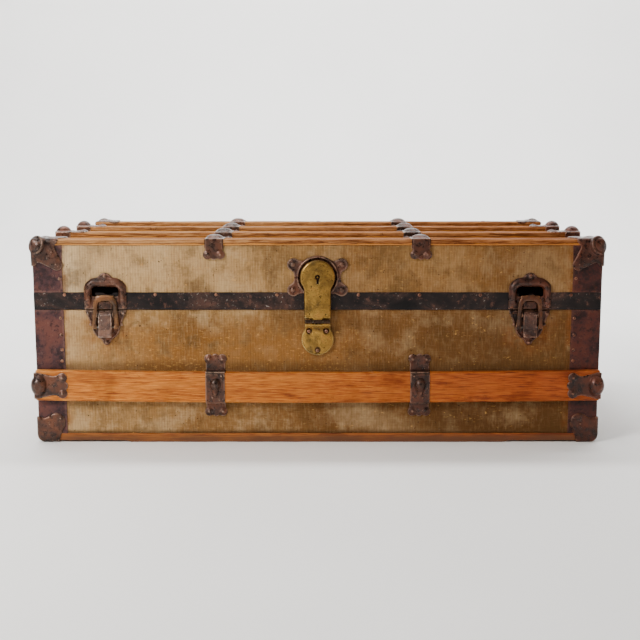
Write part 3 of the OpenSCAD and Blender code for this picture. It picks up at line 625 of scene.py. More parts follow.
def brass_material():
    """Tarnished brass: ochre with greenish brown patches, bright rubbed edges that are partly a
    painted highlight, and dark pits.
    """
    s = Shade("brass", rough=0.4, metal=0.8)
    big = s.noise(42.0, 6.0, 0.65, bend=0.5)
    small = s.noise(200.0, 5.0, 0.7)
    colour = s.ramp(big, (0.34, "5A4520"), (0.46, "82622C"), (0.56, "9C7836"), (0.68, "A87838"))
    x, y, z = s.parts()
    pit = s.times(s.band(s.cells(95.0), 0.16, 0.1), s.band(s.noise(60.0, 3.0), 0.46, 0.58))
    keyhole = s.near((0, -(TRIM_D + 11) * MM, RING_Z * MM), 0.009)
    # Bright rubbed edges, kept off the keyhole: wear, and partly a painted highlight
    rubbed_and_highlight = s.times(s.edges(0.51, 0.56), s.band(keyhole, 0.2, 0.1))
    # Painted near-black shade inside the keyhole
    inside = s.times(s.band(y, -(TRIM_D + 9.5) * MM, -(TRIM_D + 8.5) * MM),
                     s.band(keyhole, 0.1, 0.2))
    knuckle = s.around(z, KNUCKLE_Z * MM, 0.0038, 0.0026)
    # Painted shade darkens the catch's nail dents
    dents = [s.near((nail_x * MM, -(TRIM_D + 2) * MM, nail_z * MM), 0.0095)
             for nail_x, nail_z in CATCH_NAILS]
    colour = s.layers(colour, (s.band(small, 0.52, 0.7, 0.0, 0.55), "553A16"),
                      (s.times(pit, 0.9), "3A2713"), (s.times(rubbed_and_highlight, 0.75), "E0CB88"),
                      # Painted shade over the right of the lock, as if lit from the left
                      (inside, "060402"), (s.band(x, -0.012, 0.028, 0.0, 0.5), "6E4C18"),
                      *[(s.band(dent, 0.25, 0.62, 0.0, 0.85), "38200F") for dent in dents],
                      # Painted shade with grime in the creases
                      (s.shade_and_grime_in_creases(), "2A1A0C"), (s.times(knuckle, 0.92), "2B1C1A"))
    height = s.minus(s.times(small, 0.6), s.times(pit, 1.4))
    return s.finish(colour, height, 0.0004, s.band(small, 0.35, 0.65, 0.24, 0.46))


def leather_material():
    """Dark harness leather with a pebbled grain, cracks and rubbed brown edges."""
    s = Shade("handle_leather", rough=0.5, Specular_IOR_Level=0.4)
    pebble = s.cells(520.0)
    big = s.noise(30.0, 5.0, 0.6)
    plates = s.cells(60.0, at=s.stretch(1.0, 2.6, 1.0), feature="DISTANCE_TO_EDGE")
    crack = s.band(plates, 0.03, 0.0)
    colour = s.ramp(big, (0.35, "2A1810"), (0.5, "3D2417"), (0.66, "553421"))
    colour = s.layers(colour, (s.times(s.edges(0.51, 0.57), 0.65), "8A5F3D"),
                      (s.times(crack, 0.5), "1A0F0A"))
    height = s.minus(s.times(pebble, 0.6), s.times(crack, 0.5))
    return s.finish(colour, height, 0.0005, s.band(big, 0.35, 0.65, 0.4, 0.62))


def paper_material():
    """Aged lining paper: cream, foxed, with water stains and faint printed pinstripes."""
    s = Shade("lining_paper", rough=0.85, Specular_IOR_Level=0.2)
    soft = s.noise(5.0, 7.0, 0.6)
    colour = s.ramp(soft, (0.3, "B09A72"), (0.5, "C6B289"), (0.7, "D3C39D"))
    stripe = s.band(s.sine(s.times(s.walls(), 2 * math.pi / STRIPE_PITCH)), 0.88, 0.98)
    foxing = s.band(s.noise(120.0, 3.0), 0.66, 0.74, 0.0, 0.6)
    damp = s.band(s.noise(3.4, 6.0, 0.62, bend=0.6), 0.53, 0.6, 0.0, 0.32)
    colour = s.layers(colour, (s.times(stripe, 0.32), "7C6A8A"), (foxing, "8A5E30"),
                      (damp, "8F7042"))
    return s.finish(colour, s.noise(260.0, 5.0, 0.6), 0.0002)


def steel_material():
    """Dull bare steel with brown rust freckles."""
    s = Shade("steel", rough=0.42, metal=0.85)
    big = s.noise(40.0, 5.0, 0.65)
    freckle = s.band(s.noise(190.0, 4.0, 0.7), 0.54, 0.64)
    colour = s.ramp(big, (0.35, "5E5955"), (0.5, "7C7772"), (0.66, "94908A"))
    colour = s.mix(s.times(freckle, 0.75), colour, "5B3B28")
    return s.finish(colour, s.noise(420.0, 4.0, 0.6), 0.0002, s.band(big, 0.35, 0.65, 0.32, 0.55))


def tape_material():
    """Herringbone cotton tape, yellowed."""
    s = Shade("pull_tape", rough=0.95, Specular_IOR_Level=0.15)
    _, y, z = s.parts()
    twill = s.sine(s.plus(s.size(s.sine(s.times(y, 500.0))), s.times(z, 1500.0)))
    colour = s.ramp(s.noise(60.0, 5.0), (0.35, "A89A75"), (0.5, "C2B48D"), (0.66, "CFC29E"))
    colour = s.mix(s.band(twill, -0.2, 0.6, 0.25, 0.0), colour, "7F7250")
    return s.finish(colour, twill, 0.0003)


def floor_material():
    """Pale matt floor; far from the trunk it fades, for the camera only, into the studio's glow."""
    s = Shade("floor", rough=0.9, Specular_IOR_Level=0.1)
    s.finish(s.ramp(s.noise(2.0, 2.0), (0.3, "F2F1EF"), (0.7, "F6F5F3")))
    x, y, _ = s.parts()
    far = s.most(s.band(s.size(x), 1.7, 4.0), s.band(y, -1.0, -3.2))
    seen = s.node("ShaderNodeLightPath").outputs["Is Camera Ray"]
    glow = s.node("ShaderNodeEmission", {"Strength": HORIZON}).outputs[0]
    fade = s.node("ShaderNodeMixShader", {0: s.times(far, seen),
                                          1: s.shader.outputs[0], 2: glow})
    s.tree.links.new(fade.outputs[0], s.tree.nodes["Material Output"].inputs["Surface"])
    return s.material


CANVAS = canvas_material()
SLAT_WOOD = wood_material("slat_wood", "CC8230", "AE5F18", "70340C")
TOP_WOOD = wood_material("top_slat_wood", "B8895A", "925F36", "56311A", grime=0.8, shine=0.8,
                         chipped=1.0, gloss=0.05, wear=0.0, right_shade_and_soil=0.65)
PINE = wood_material("pine", "C9A873", "B8925C", "94703F", grime=0.35, shine=0.75, seed=3.0,
                     wear=0.0, right_shade_and_soil=0.0)
TRAY_WOOD = wood_material("tray_wood", "D2B581", "C3A16A", "A27F4C", grime=0.25, shine=0.7,
                          seed=7.0, wear=0.0, right_shade_and_soil=0.0)
FITTING = iron_material("fitting_iron", "20130D", "462C21", "613722", "AC8E78", metal=0.45,
                        wear=0.6, shine=0.32)
PLATE = iron_material("plate_iron", "20130D", "462C21", "613722", "A0806A", metal=0.4, wear=0.0)
HOOK_IRON = iron_material("hook_iron", "2E1E13", "59391F", "704521", "AC8A5E", metal=0.4)
LEVER_IRON = iron_material("lever_iron", "2C1B16", "5A3F33", "6E4A36", "C2AA98", metal=0.3,
                           pits=2.2, flakes=0.8)
BINDING = iron_material("binding_iron", "180F13", "41292A", "5A342C", "7C5A4E", metal=0.0,
                        wear=0.3, shine=0.5, flakes=0.45, patches=22.0, gloss=0.2)
NAILS = iron_material("nail_iron", "2C1812", "5E3221", "83492A", "A87E62", wear=0.7)
BAND = band_material()
BRASS = brass_material()
LEATHER = leather_material()
PAPER = paper_material()
STEEL = steel_material()
TAPE = tape_material()
SLOTS = {
    "canvas": CANVAS, "slat_wood": SLAT_WOOD, "pine": PINE, "tray_wood": TRAY_WOOD,
    "fitting_iron": PLATE, "binding_iron": BINDING, "nail_iron": NAILS, "band_iron": BAND,
    "brass": BRASS, "handle_leather": LEATHER, "lining_paper": PAPER, "steel": STEEL,
    "pull_tape": TAPE,
}


# ---- Boards and other CAD nodes kept as they are -----------------------------------------------

KEPT_BEVEL = {
    0.6: ("base_front_board", "base_back_board", "base_end_boards", "lid_front_board",
          "lid_back_board", "lid_end_boards", "base_floor_board", "lid_top_board", "tray_floor"),
    0.8: ("tray_boards", "tray_dividers"),
    1.2: ("tray_cleats",),
    0.5: ("hinge_base_leaves", "hinge_lid_leaves"),
    0.4: ("hinge_pins", "stay_base_brackets", "stay_lid_brackets"),
    0.3: ("left_stay_lower_arm", "left_stay_upper_arm", "right_stay_lower_arm",
          "right_stay_upper_arm", "draw_bolt_lever_pins", "left_hook_pin", "right_hook_pin",
          "lock_hinge_pin", "lock_bolt"),
    0.0: ("base_lining", "lid_lining"),
}
NODE_SLOT = {part["node"]: part["material_slot"] for part in frame["record"]["subparts"]}


def keep(node, width):
    """Shows a CAD node as it is, in its slot's material and with softened edges."""
    obj = frame["nodes"][node]
    for place in obj.material_slots:
        place.material = SLOTS[NODE_SLOT[node]]
    if width:
        bevel = obj.modifiers.new("worn_edges", "BEVEL")
        bevel.width = width * MM
        bevel.segments = 2
        bevel.limit_method = "ANGLE"
        bevel.angle_limit = math.radians(40)


for bevel_width, kept_nodes in KEPT_BEVEL.items():
    for kept_node in kept_nodes:
        keep(kept_node, bevel_width)


# ---- Canvas, bindings and band: bent sheets ----------------------------------------------------


def loop_path(half_x, half_y, radius, step):
    """Points and outward normals round a rounded rectangle."""
    points, normals = [], []
    for quarter in range(4):
        turn = quarter * math.pi / 2
        sx = 1 if quarter in (0, 3) else -1
        sy = 1 if quarter in (0, 1) else -1
        centre = np.array([sx * (half_x - radius), sy * (half_y - radius)])
        for k in range(6):
            angle = turn + k / 5 * math.pi / 2
            normal = np.array([math.cos(angle), math.sin(angle)])
            points.append(centre + radius * normal)
            normals.append(normal)
        length = 2 * (half_x if quarter in (0, 2) else half_y) - 2 * radius
        count = int(length / step)
        heading = np.array([-math.sin(turn + math.pi / 2), math.cos(turn + math.pi / 2)])
        start, normal = points[-1], normals[-1]
        for k in range(1, count):
            points.append(start + heading * length * k / count)
            normals.append(normal)
    return np.array(points), np.array(normals)


def wrap(half_x, half_y, radius, levels, thick, step, lift, ragged=0.0):
    """Closed sheet round the trunk, through all its levels; lift(x, y, z) pushes it out."""
    path, normals = loop_path(half_x, half_y, radius, step)
    rings = []
    for (x, y), (nx, ny) in zip(path, normals):
        z = np.array(levels, float)
        z[0] += ragged * wobble(x, y, 0, 30, 5)
        z[-1] += ragged * wobble(x, y, 9, 24, 6)
        out = lift(np.full_like(z, x), np.full_like(z, y), z)
        outer = np.stack([x + nx * out, y + ny * out, z], -1)
        inner = np.stack([np.full_like(z, x - nx * thick), np.full_like(z, y - ny * thick), z], -1)
        rings.append(np.concatenate([outer, inner[::-1][[0, -1]]]))
    return tube(rings, closed=True)


def slack(x, y, z):
    """How far glued canvas stands off its board, in millimetres."""
    return 0.22 * wobble(x, y, z, 130, 21) + 0.1 * wobble(x, y, z, 38, 22)


def dents(x, y, z):
    """Small dents in thin sheet iron, in millimetres."""
    return 0.14 * wobble(x, y, z, 60, 31) + 0.16 * wobble(x, y, z, 17, 32)


base_levels = np.linspace(FLOOR_EDGE_Z, RIM_Z, 46)
base_canvas = piece("canvas_base", wrap(HALF_W, HALF_D, 2, base_levels, 0.8, 5, slack, 0.15),
                    "base", CANVAS, ["base_canvas"])

lid_levels = np.linspace(SEAM_Z, LID_TOP_Z, 28)
lid_canvas = piece("canvas_lid_sides", wrap(HALF_W, HALF_D, 2, lid_levels, 0.8, 5, slack),
                   "lid", CANVAS, ["lid_canvas"])


def top_sheet():
    """Canvas over the lid's top board, rounded over its long edges."""
    rings = []
    for x in np.linspace(-HALF_W + 0.5, HALF_W - 0.5, 130):
        y = np.linspace(-HALF_D + 0.5, HALF_D - 0.5, 90)
        z = LID_TOP_Z + slack(np.full_like(y, x), y, np.full_like(y, LID_TOP_Z)) - 0.2
        upper = np.stack([np.full_like(y, x), y, z], -1)
        lower = np.array([[x, y[-1], LID_TOP_Z - 1], [x, y[0], LID_TOP_Z - 1]])
        rings.append(np.concatenate([upper, lower]))
    return tube(rings)


top_canvas = piece("canvas_lid_top", top_sheet(), "lid", CANVAS, ["lid_canvas"], sharp=50)


def binding(low, high, leg):
    """Sheet iron bent round one upright corner, with wavy cut edges and small dents."""
    radius = 2.5
    rings = []
    for z in np.arange(low, high + 0.1, (high - low) / round((high - low) / 3.5)):
        ragged = 0.7 * wobble(0, 0, z, 46, 41) + 0.3 * wobble(0, 0, z, 9, 42)
        reach = leg + ragged
        run = np.linspace(reach, radius, 15)
        corner = np.linspace(0, math.pi / 2, 6)[1:-1]
        x = np.concatenate([TRIM_W - run, TRIM_W - radius + radius * np.sin(corner),
                            np.full(15, TRIM_W)])
        y = np.concatenate([np.full(15, BINDING_D), BINDING_D - radius + radius * np.cos(corner),
                            BINDING_D - run[::-1]])
        out = dents(x, y, np.full_like(x, z))
        nx = np.concatenate([np.zeros(15), np.sin(corner), np.ones(15)])
        ny = np.concatenate([np.ones(15), np.cos(corner), np.zeros(15)])
        lift = 0.12 + out
        outer = np.stack([x + nx * lift, -(y + ny * lift), np.full_like(x, z)], -1)
        inner = np.stack([x - nx * 0.8, -(y - ny * 0.8), np.full_like(x, z)], -1)
        rings.append(np.concatenate([outer, inner[::-1]]))
    return tube(rings)


binding_low, binding_high = corners("lid_corner_bindings")
BINDING_LEG = 48
piece("bindings_base", four_corners(binding(FLOOR_EDGE_Z, RIM_Z, BINDING_LEG)), "base", BINDING,
      ["base_corner_bindings"], sharp=40)
piece("bindings_lid", four_corners(binding(binding_low[2], binding_high[2], BINDING_LEG)), "lid",
      BINDING, ["lid_corner_bindings"], sharp=40)

band_levels = np.array([SEAM_Z, SEAM_Z + 0.8, *np.linspace(SEAM_Z + 4, BAND_TOP_Z - 4, 6),
                        BAND_TOP_Z - 0.8, BAND_TOP_Z])


def band_lift(x, y, z):
    """The band stands off its binding, a little less at its two edges."""
    edge = np.minimum(z - SEAM_Z, BAND_TOP_Z - z)
    return dents(x, y, z) + 0.25 * np.clip(edge, 0, 1)


piece("band_lid", wrap(TRIM_W, BINDING_D, 2.5, band_levels, 0.8, 4, band_lift, 0.25), "lid", BAND,
      ["lid_band"], sharp=40)


# ---- Slats -------------------------------------------------------------------------------------


def bar(low, high, seed, rounding=1.6, step=5.0, shift=None, chip=0.9):
    """Wooden strip along x, with rounded and knocked edges; shift(x) moves its section up."""
    (x0, y0, z0), (x1, y1, z1) = low, high
    half_y, half_z = (y1 - y0) / 2, (z1 - z0) / 2
    section, normals = loop_path(half_y, half_z, rounding, 4)
    knocked = np.where(np.abs(normals).min(1) > 0.1, 1.0, 0.12)
    rings = []
    for x in [x0, x0 + 0.4, *np.arange(x0 + 1.2, x1 - 1.2, step), x1 - 0.4, x1]:
        pull = 0.7 * max(0.0, 1 - min(x - x0, x1 - x) / 1.2)
        y = (y0 + y1) / 2 + section[:, 0] - normals[:, 0] * pull
        z = (z0 + z1) / 2 + section[:, 1] - normals[:, 1] * pull
        knock = np.clip(wobble(x * 0.55, y * 2.4, z * 2.4, 30, seed) - 0.45, 0, 1)
        inward = knock * knocked * chip * 2.4 - 0.18 * wobble(x, y, z, 70, seed + 1)
        y = y - normals[:, 0] * inward
        z = z - normals[:, 1] * inward + (shift(x) if shift else 0.0)
        rings.append(np.stack([np.full_like(y, x), y, z], -1))
    return tube(rings)


SLAT_BOW = 4.0


def bow(x):
    """The side slats have sagged in the middle and risen at the ends."""
    return 1.5 - SLAT_BOW * (1 - (x / TRIM_W) ** 2)


for slat, seed in (("front_slat", 51), ("back_slat", 57)):
    piece(slat + "_wood", bar(*corners(slat), seed, shift=bow, rounding=2.2, chip=0.7), "base",
          SLAT_WOOD, [slat], sharp=50)
top_bars = [bar(*box, 61 + 4 * i, chip=1.2, rounding=1.8)
            for i, box in enumerate(solids("top_slats"))]
piece("top_slats_wood", joined(top_bars), "lid", TOP_WOOD, ["top_slats"], sharp=50)

RUNNER_FLAT = 310.0
RUNNER_LIFT = 2.5
RUNNER_ROUND = 16.0


def runner(box, seed):
    """Bottom slat whose ends are cut away a little underneath."""
    vertices, faces = bar(*box, seed, chip=1.0)
    away = np.clip((np.abs(vertices[:, 0]) - RUNNER_FLAT + 3) / 7, 0, 1)
    height = box[1][2] - box[0][2]
    share = 1 - (vertices[:, 2] - box[0][2]) / height
    vertices[:, 2] += RUNNER_LIFT * away * share
    # The ends round up with the corner caps
    inset = np.clip(RUNNER_ROUND + 1 - (TRIM_W - np.abs(vertices[:, 0])), 0, RUNNER_ROUND)
    rise = RUNNER_LIFT + RUNNER_ROUND - np.sqrt(RUNNER_ROUND ** 2 - inset ** 2)
    vertices[:, 2] = np.maximum(vertices[:, 2], np.where(inset > 0, rise, 0.0))
    return vertices, faces


runners = [runner(box, 81 + 4 * i) for i, box in enumerate(solids("bottom_slats"))]
piece("bottom_slats_wood", joined(runners), "base", SLAT_WOOD, ["bottom_slats"],
      sharp=50)


# ---- Rivets and nails --------------------------------------------------------------------------


def dome(centre, outward, radius, height, around=14, sink=0.8):
    """Domed head standing on a surface at centre, closed underneath."""
    outward = np.array(outward, float)
    side = np.cross(outward, [0.0, 0.0, 1.0] if abs(outward[2]) < 0.9 else [1.0, 0.0, 0.0])
    side /= np.linalg.norm(side)
    up = np.cross(outward, side)
    rings = []
    profile = [(radius * 0.94, -sink), (radius, 0.0)]
    profile += [(radius * math.cos(a), height * math.sin(a)) for a in (0.35, 0.7, 1.05, 1.35)]
    for r, h in profile:
        turn = np.linspace(0, 2 * math.pi, around, endpoint=False)[:, None]
        rings.append(np.array(centre) + h * outward + r * (np.cos(turn) * side + np.sin(turn) * up))
    return tube(rings)


def heads(node, seed, height=1.7):
    """A slightly crooked domed head for every nail solid of a CAD node."""
    rng = np.random.default_rng(seed)
    made = []
    for low, high in solids(node):
        axis = int(np.argmin(high - low))
        middle = (low + high) / 2
        way = 1 if middle[axis] > (200 if axis == 2 else 0) else -1
        foot = middle.copy()
        foot[axis] = low[axis] if way > 0 else high[axis]
        drift = rng.uniform(-0.5, 0.5, 3)
        drift[axis] = 0
        outward = np.zeros(3)
        outward[axis] = way
        lean = rng.normal(0, 0.07, 3)
        lean[axis] = 0
        outward = (outward + lean) / np.linalg.norm(outward + lean)
        radius = (high - low).max() / 2 * rng.uniform(1.08, 1.22)
        tall = max(height, (high - low)[axis]) * rng.uniform(0.85, 1.1)
        made.append(dome(foot + drift, outward, radius, tall))
    return joined(made)


piece("nails_base", heads("base_nails", 7), "base", NAILS, ["base_nails"], sharp=60)
piece("nails_lid", heads("lid_nails", 8), "lid", NAILS, ["lid_nails"], sharp=60)


# ---- Corner caps: u, v and w run in from the end, the front and the top (or bottom) ------------


def rivet(a, b, c, at, radius, tall, level=0.0):
    """Rivet head on a plate: a and b in its plane, c outward from it."""
    return egg(a, b, c, (at[0], at[1], level), (radius, radius, tall))


def boss(a, b, c, at, level):
    """Round swelling pressed into a plate's ear, with a nail in its middle."""
    swelling = egg(a, b, c, (at[0], at[1], level - 0.3), (6.4, 6.4, 2.1))
    return smooth_min(swelling, rivet(a, b, c, at, 3.1, 3.0, level), 0.6)


def pressed(outline, outward, thick, crown, rim=0.0, sink=2.0, soft=0.9):
    """Sheet pressed over an outline: outward is the height over the surface under it."""
    depth = np.clip(-outline / 9, 0, 1)
    top = thick + crown * depth * (2 - depth)
    if rim:
        top = top - rim * ridge(outline + 3.6, 1.1)
    return smooth_max(outline, smooth_max(outward - top, -outward - sink, 0.3), soft)


def cap_sides(u, v, w):
    """A corner cap's three faces: two lengths in the face, and the height out of it."""
    return (u, w, -v), (v, w, -u), (u, v, -w)


def lid_lobe(a, b):
    """One face of a lid cap: a slanting tongue that ends in a rivet, and strips at the edges."""
    tongue = taper(a, b, (6, 6), (39.5, 40), 26, 9.5)
    strips = union(rect(a, b, (-9, -9), (7, 42), 5), rect(a, b, (-9, -9), (42, 7), 5))
    return smooth_min(tongue, strips, 9)


def lid_cap_field(u, v, w):
    sides = cap_sides(u, v, w)
    skin = union(*[pressed(lid_lobe(a, b), c, 1.3, 2.2, rim=0.7) for a, b, c in sides], k=2.5)
    skin = smooth_max(skin, block(u, v, w, (-2.6, -2.6, -2.6), (90, 90, 90), 7), 1.0)
    for a, b, c in sides:
        skin = union(skin, rivet(a, b, c, (38.5, 39.5), 2.6, 3.4),
                     rivet(a, b, c, (25, 30), 1.9, 3.6), k=0.7)
    # Bulging bumper with a rimmed button that faces out and forwards
    toward = np.array([-0.6, -1.0, -0.32])
    toward /= np.linalg.norm(toward)
    centre = np.array([14.5, 13.0, 12.5])
    du, dv, dw = u - centre[0], v - centre[1], w - centre[2]
    along = du * toward[0] + dv * toward[1] + dw * toward[2]
    aside = np.sqrt(np.maximum(du ** 2 + dv ** 2 + dw ** 2 - along ** 2, 0))
    bulge = taper(along, aside, (-4, 0), (6, 0), 18.5, 13)
    skin = union(skin, bulge, k=6)
    rim = np.hypot(aside - 13.2, (along - 13.6) / 1.2) - 2.5
    button = np.hypot(aside / 10.6, (along - 13.8) / 6.6)
    skin = smooth_min(skin, rim, 1.2)
    skin = smooth_min(skin, (button - 1) * 6, 0.4)
    within = np.maximum(np.maximum(-u, -v), -w)
    return np.maximum(skin, -within - 2.2)


lid_cap = set_out(net(lid_cap_field, (-9, -9, -10), (54, 54, 54), FINE),
                  (TRIM_W, -BINDING_D - 1, TRUNK_H), (-1, 1, -1))
fitting("corner_caps_lid", four_corners(lid_cap), "lid", "lid_corner_caps")


CAP_ROUND = 16.0


def base_lobe(a, b):
    return union(taper(a, b, (10, 10), (29, 31), 27, 15.5), rect(a, b, (-9, -9), (8, 40), 6), k=7)


def base_cap_field(u, v, w):
    sides = cap_sides(u, v, w)
    skin = union(*[pressed(base_lobe(a, b), c, 1.4, 3.6) for a, b, c in sides], k=3)
    skin = smooth_max(skin, block(u, v, w, (-2.9, -2.9, -2.6), (90, 90, 90), 5), 1.0)
    skin = smooth_max(skin, rect(u, w, (-2.9, -2.6), (90, 90), CAP_ROUND), 1.0)
    for a, b, c in sides[:2]:
        skin = union(skin, rivet(a, b, c, (37, 38), 2.2, 4.6),
                     rivet(a, b, c, (28, 29), 2.0, 5.2), k=0.7)
    return np.maximum(skin, np.minimum(np.minimum(u, v), w) - 2.2)


BASE_CAP_Z = corners("base_corner_caps")[0][2] + 1.5
base_cap = set_out(net(base_cap_field, (-5, -5, -4), (56, 56, 56)),
                   (TRIM_W, -BINDING_D, BASE_CAP_Z), (-1, 1, 1))
base_cap[0][:, 2] = np.maximum(base_cap[0][:, 2], 0.6)
fitting("corner_caps_base", four_corners(base_cap), "base", "base_corner_caps")


# ---- Slat clamps -------------------------------------------------------------------------------

CLAMP_HALF = 18.0
CLAMP_FOOT, CLAMP_TOP = 46, 149
SHEET_IRON = 1.6


def scallops(a, b, end, half, way=1):
    """Ear beyond `end`: two rivet lobes at its corners and a smaller lobe between them."""
    lobes = [disc(a, b, (s * (half - 7), end - way * 7.5), 7.4) for s in (-1, 1)]
    middle = disc(a, b, (0, end - way * 5), 5.6)
    body = rect(a, way * b, (-half + 2.2, way * end - 60), (half - 2.2, way * end - 8), 1)
    return union(body, *lobes, middle, k=2.2)


def slat_clamp_field(x, y, z):
    """Strap over the front slat: x from its middle, y out from the canvas face, z up."""
    slat_out = SLAT_FACE - HALF_D
    ears = np.maximum(scallops(x, z, CLAMP_TOP, CLAMP_HALF), 60 - z)
    lower = np.maximum(scallops(x, z, CLAMP_FOOT, CLAMP_HALF, way=-1), z - 130)
    outline = union(ears, lower)
    over = rect(y, z, (-4, 69.5), (slat_out + SHEET_IRON + 0.3, 122.5), 2.2)
    flat = y - (SHEET_IRON + 0.2)
    skin = smooth_min(over, np.maximum(flat, -y - 2), 2.0)
    skin = smooth_max(skin, outline, 0.8)
    inner = rect(y, z, (-9, 71), (slat_out + 0.3, 121), 1)
    skin = np.maximum(skin, -inner - 2.0)
    fold = np.hypot(y - slat_out - SHEET_IRON, z - 119.2) - 0.9
    skin = smooth_max(skin, -fold, 0.5)
    face = slat_out + SHEET_IRON
    knob = egg(x, z, y, (0, 101, face), (8.6, 10.5, 8.2))
    tail = egg(x, z, y, (0, 91, face), (5.0, 11.0, 4.6))
    skin = union(skin, smooth_min(knob, tail, 4), k=1.0)
    skin = union(skin, *[rivet(x, z, y, at, 2.0, 1.6, face) for at in ((4.5, 79.5), (-10, 115))],
                 k=0.6)
    skin = union(skin, *[boss(x, z, y, (s * 11, at), SHEET_IRON) for at in (140.5, 54)
                         for s in (-1, 1)], k=0.6)
    return np.maximum(skin, -y - 1.0)


slat_clamp = set_out(net(slat_clamp_field, (-21, -2, CLAMP_FOOT - 4), (21, 27, CLAMP_TOP + 4)),
                     (CLAMP_X, -HALF_D, bow(CLAMP_X)), (1, -1, 1))
fitting("slat_clamps_iron", four_corners(slat_clamp), "base", "slat_clamps")


def end_clamp_field(u, v, z):
    """Saddle at a side slat's end: u in from its end, v in from its face, z from its middle."""
    waist = 18.5 + 3.5 * np.clip((u - 40) / 8, 0, 1) - 2.6 * ridge(u - 29, 9)
    waist = waist + 3.2 * ridge(u - 2, 10)
    strip = np.maximum(np.abs(z) - waist, u - 44)
    lobes = union(*[disc(u, z, (43.5, s * 13), 8.0) for s in (-1, 1)], disc(u, z, (46, 0), 7.0),
                  k=1.5)
    front = union(strip, lobes, k=2.5)
    front = smooth_max(front, shell(v, -1.9, 2), 0.7)
    front = np.maximum(front, -u - 1.9)
    side = np.maximum(np.abs(z) - 20.5 + 4 * np.clip((v - 12) / 20, 0, 1), v - 46)
    side = smooth_max(side, shell(u, -1.7, 1.5), 0.7)
    skin = smooth_min(front, np.maximum(side, -v - 1.9), 3.0)
    knob = egg(u, v, z, (5.6, 3.0, 0), (13.6, 14.8, 18.0))
    skin = union(skin, knob, k=1.0)
    for at in ((43.5, -13), (43.5, 13)):
        skin = union(skin, boss(u, z, -v, at, 1.8), k=0.6)
    return np.maximum(skin, np.minimum(u - 2.5, v - 2.5))


end_clamp = set_out(net(end_clamp_field, (-11, -11, -26), (57, 50, 26)),
                    (HALF_W, -SLAT_FACE, SLAT_Z + bow(HALF_W - 15)), (-1, 1, 1))
fitting("slat_end_clamps_iron", four_corners(end_clamp), "base", "slat_end_clamps")


# ---- Clamps over the top slats -----------------------------------------------------------------

SLAT_RISE = TRUNK_H - LID_TOP_Z


def strap_over(x, s, h, half_slat):
    """Strap across a top slat: s along the strap from the slat's middle, h up from the canvas."""
    reach = half_slat + SHEET_IRON
    over = rect(s, h, (-reach, -5), (reach, SLAT_RISE + SHEET_IRON), 2.6)
    feet = np.maximum(h - SHEET_IRON, -h - 1)
    skin = smooth_min(over, feet, 2.0)
    crown = egg(x, s, h, (0, 0, SLAT_RISE), (14.5, 16.5, 7.6))
    skin = union(skin, crown, k=1.8)
    for end in (-1, 1):
        skin = union(skin, egg(x, s, h, (0, end * 19, SLAT_RISE), (13, 2.6, 3.4)), k=1.2)
    return skin


def top_clamp_field(x, s, h):
    outline = union(scallops(x, s, 37, 17.5), scallops(x, s, -37, 17.5, way=-1))
    skin = smooth_max(strap_over(x, s, h, 23), outline, 0.8)
    skin = union(skin, *[boss(x, s, h, (side * 10.5, end * 29.5), SHEET_IRON) for end in (1, -1)
                         for side in (-1, 1)], k=0.6)
    return np.maximum(skin, -h - 0.8)


inner_boxes = [box for box in solids("top_slats") if abs(box[0][1] + box[1][1]) < 300]
inner_y = max(box[0][1] + box[1][1] for box in inner_boxes) / 2
top_clamp = set_out(net(top_clamp_field, (-20, -40, -2), (20, 40, 19)),
                    (CLAMP_X, -inner_y, LID_TOP_Z))
fitting("top_slat_clamps_iron", four_corners(top_clamp), "lid", "top_slat_clamps")

EDGE_DROP = 31.5


def edge_clamp_field(x, v, h):
    """Clamp over the front top slat and its edge: v in from the edge, h up from the top."""
    skin = strap_over(x, v - 23, h + SLAT_RISE, 23)
    ear = scallops(x, v, 60, 17.5)
    skin = smooth_max(skin, np.maximum(ear, -v - 2.5), 0.8)
    fall = union(*[disc(x, h, (s * 10.2, -EDGE_DROP + 7.4), 7.4) for s in (-1, 1)],
                 disc(x, h, (0, -EDGE_DROP + 4.6), 5.4),
                 rect(x, h, (-13.2, -EDGE_DROP + 8), (13.2, 9), 2), k=2.2)
    front = smooth_max(fall, shell(v, -1.7, 2.2), 0.8)
    front = np.maximum(front, h - SHEET_IRON)
    skin = smooth_min(skin, front, 2.5)
    for s in (-1, 1):
        skin = union(skin, boss(x, h, -v, (s * 10.2, -EDGE_DROP + 7.6), SHEET_IRON),
                     boss(x, v, h, (s * 10.5, 52.5), SHEET_IRON - SLAT_RISE), k=0.6)
    cover = np.where(v > 47, -h - SLAT_RISE - 0.8, -h - EDGE_DROP - 2)
    hidden = np.minimum(v - 2.2, -h - SLAT_RISE - 0.8)
    return np.maximum(np.maximum(skin, cover), hidden)


edge_clamp = set_out(net(edge_clamp_field, (-20, -5, -EDGE_DROP - 4), (20, 63, 10)),
                     (CLAMP_X, -TRIM_D - 1, TRUNK_H))
fitting("top_edge_clamps_iron", four_corners(edge_clamp), "lid", "top_edge_clamps")


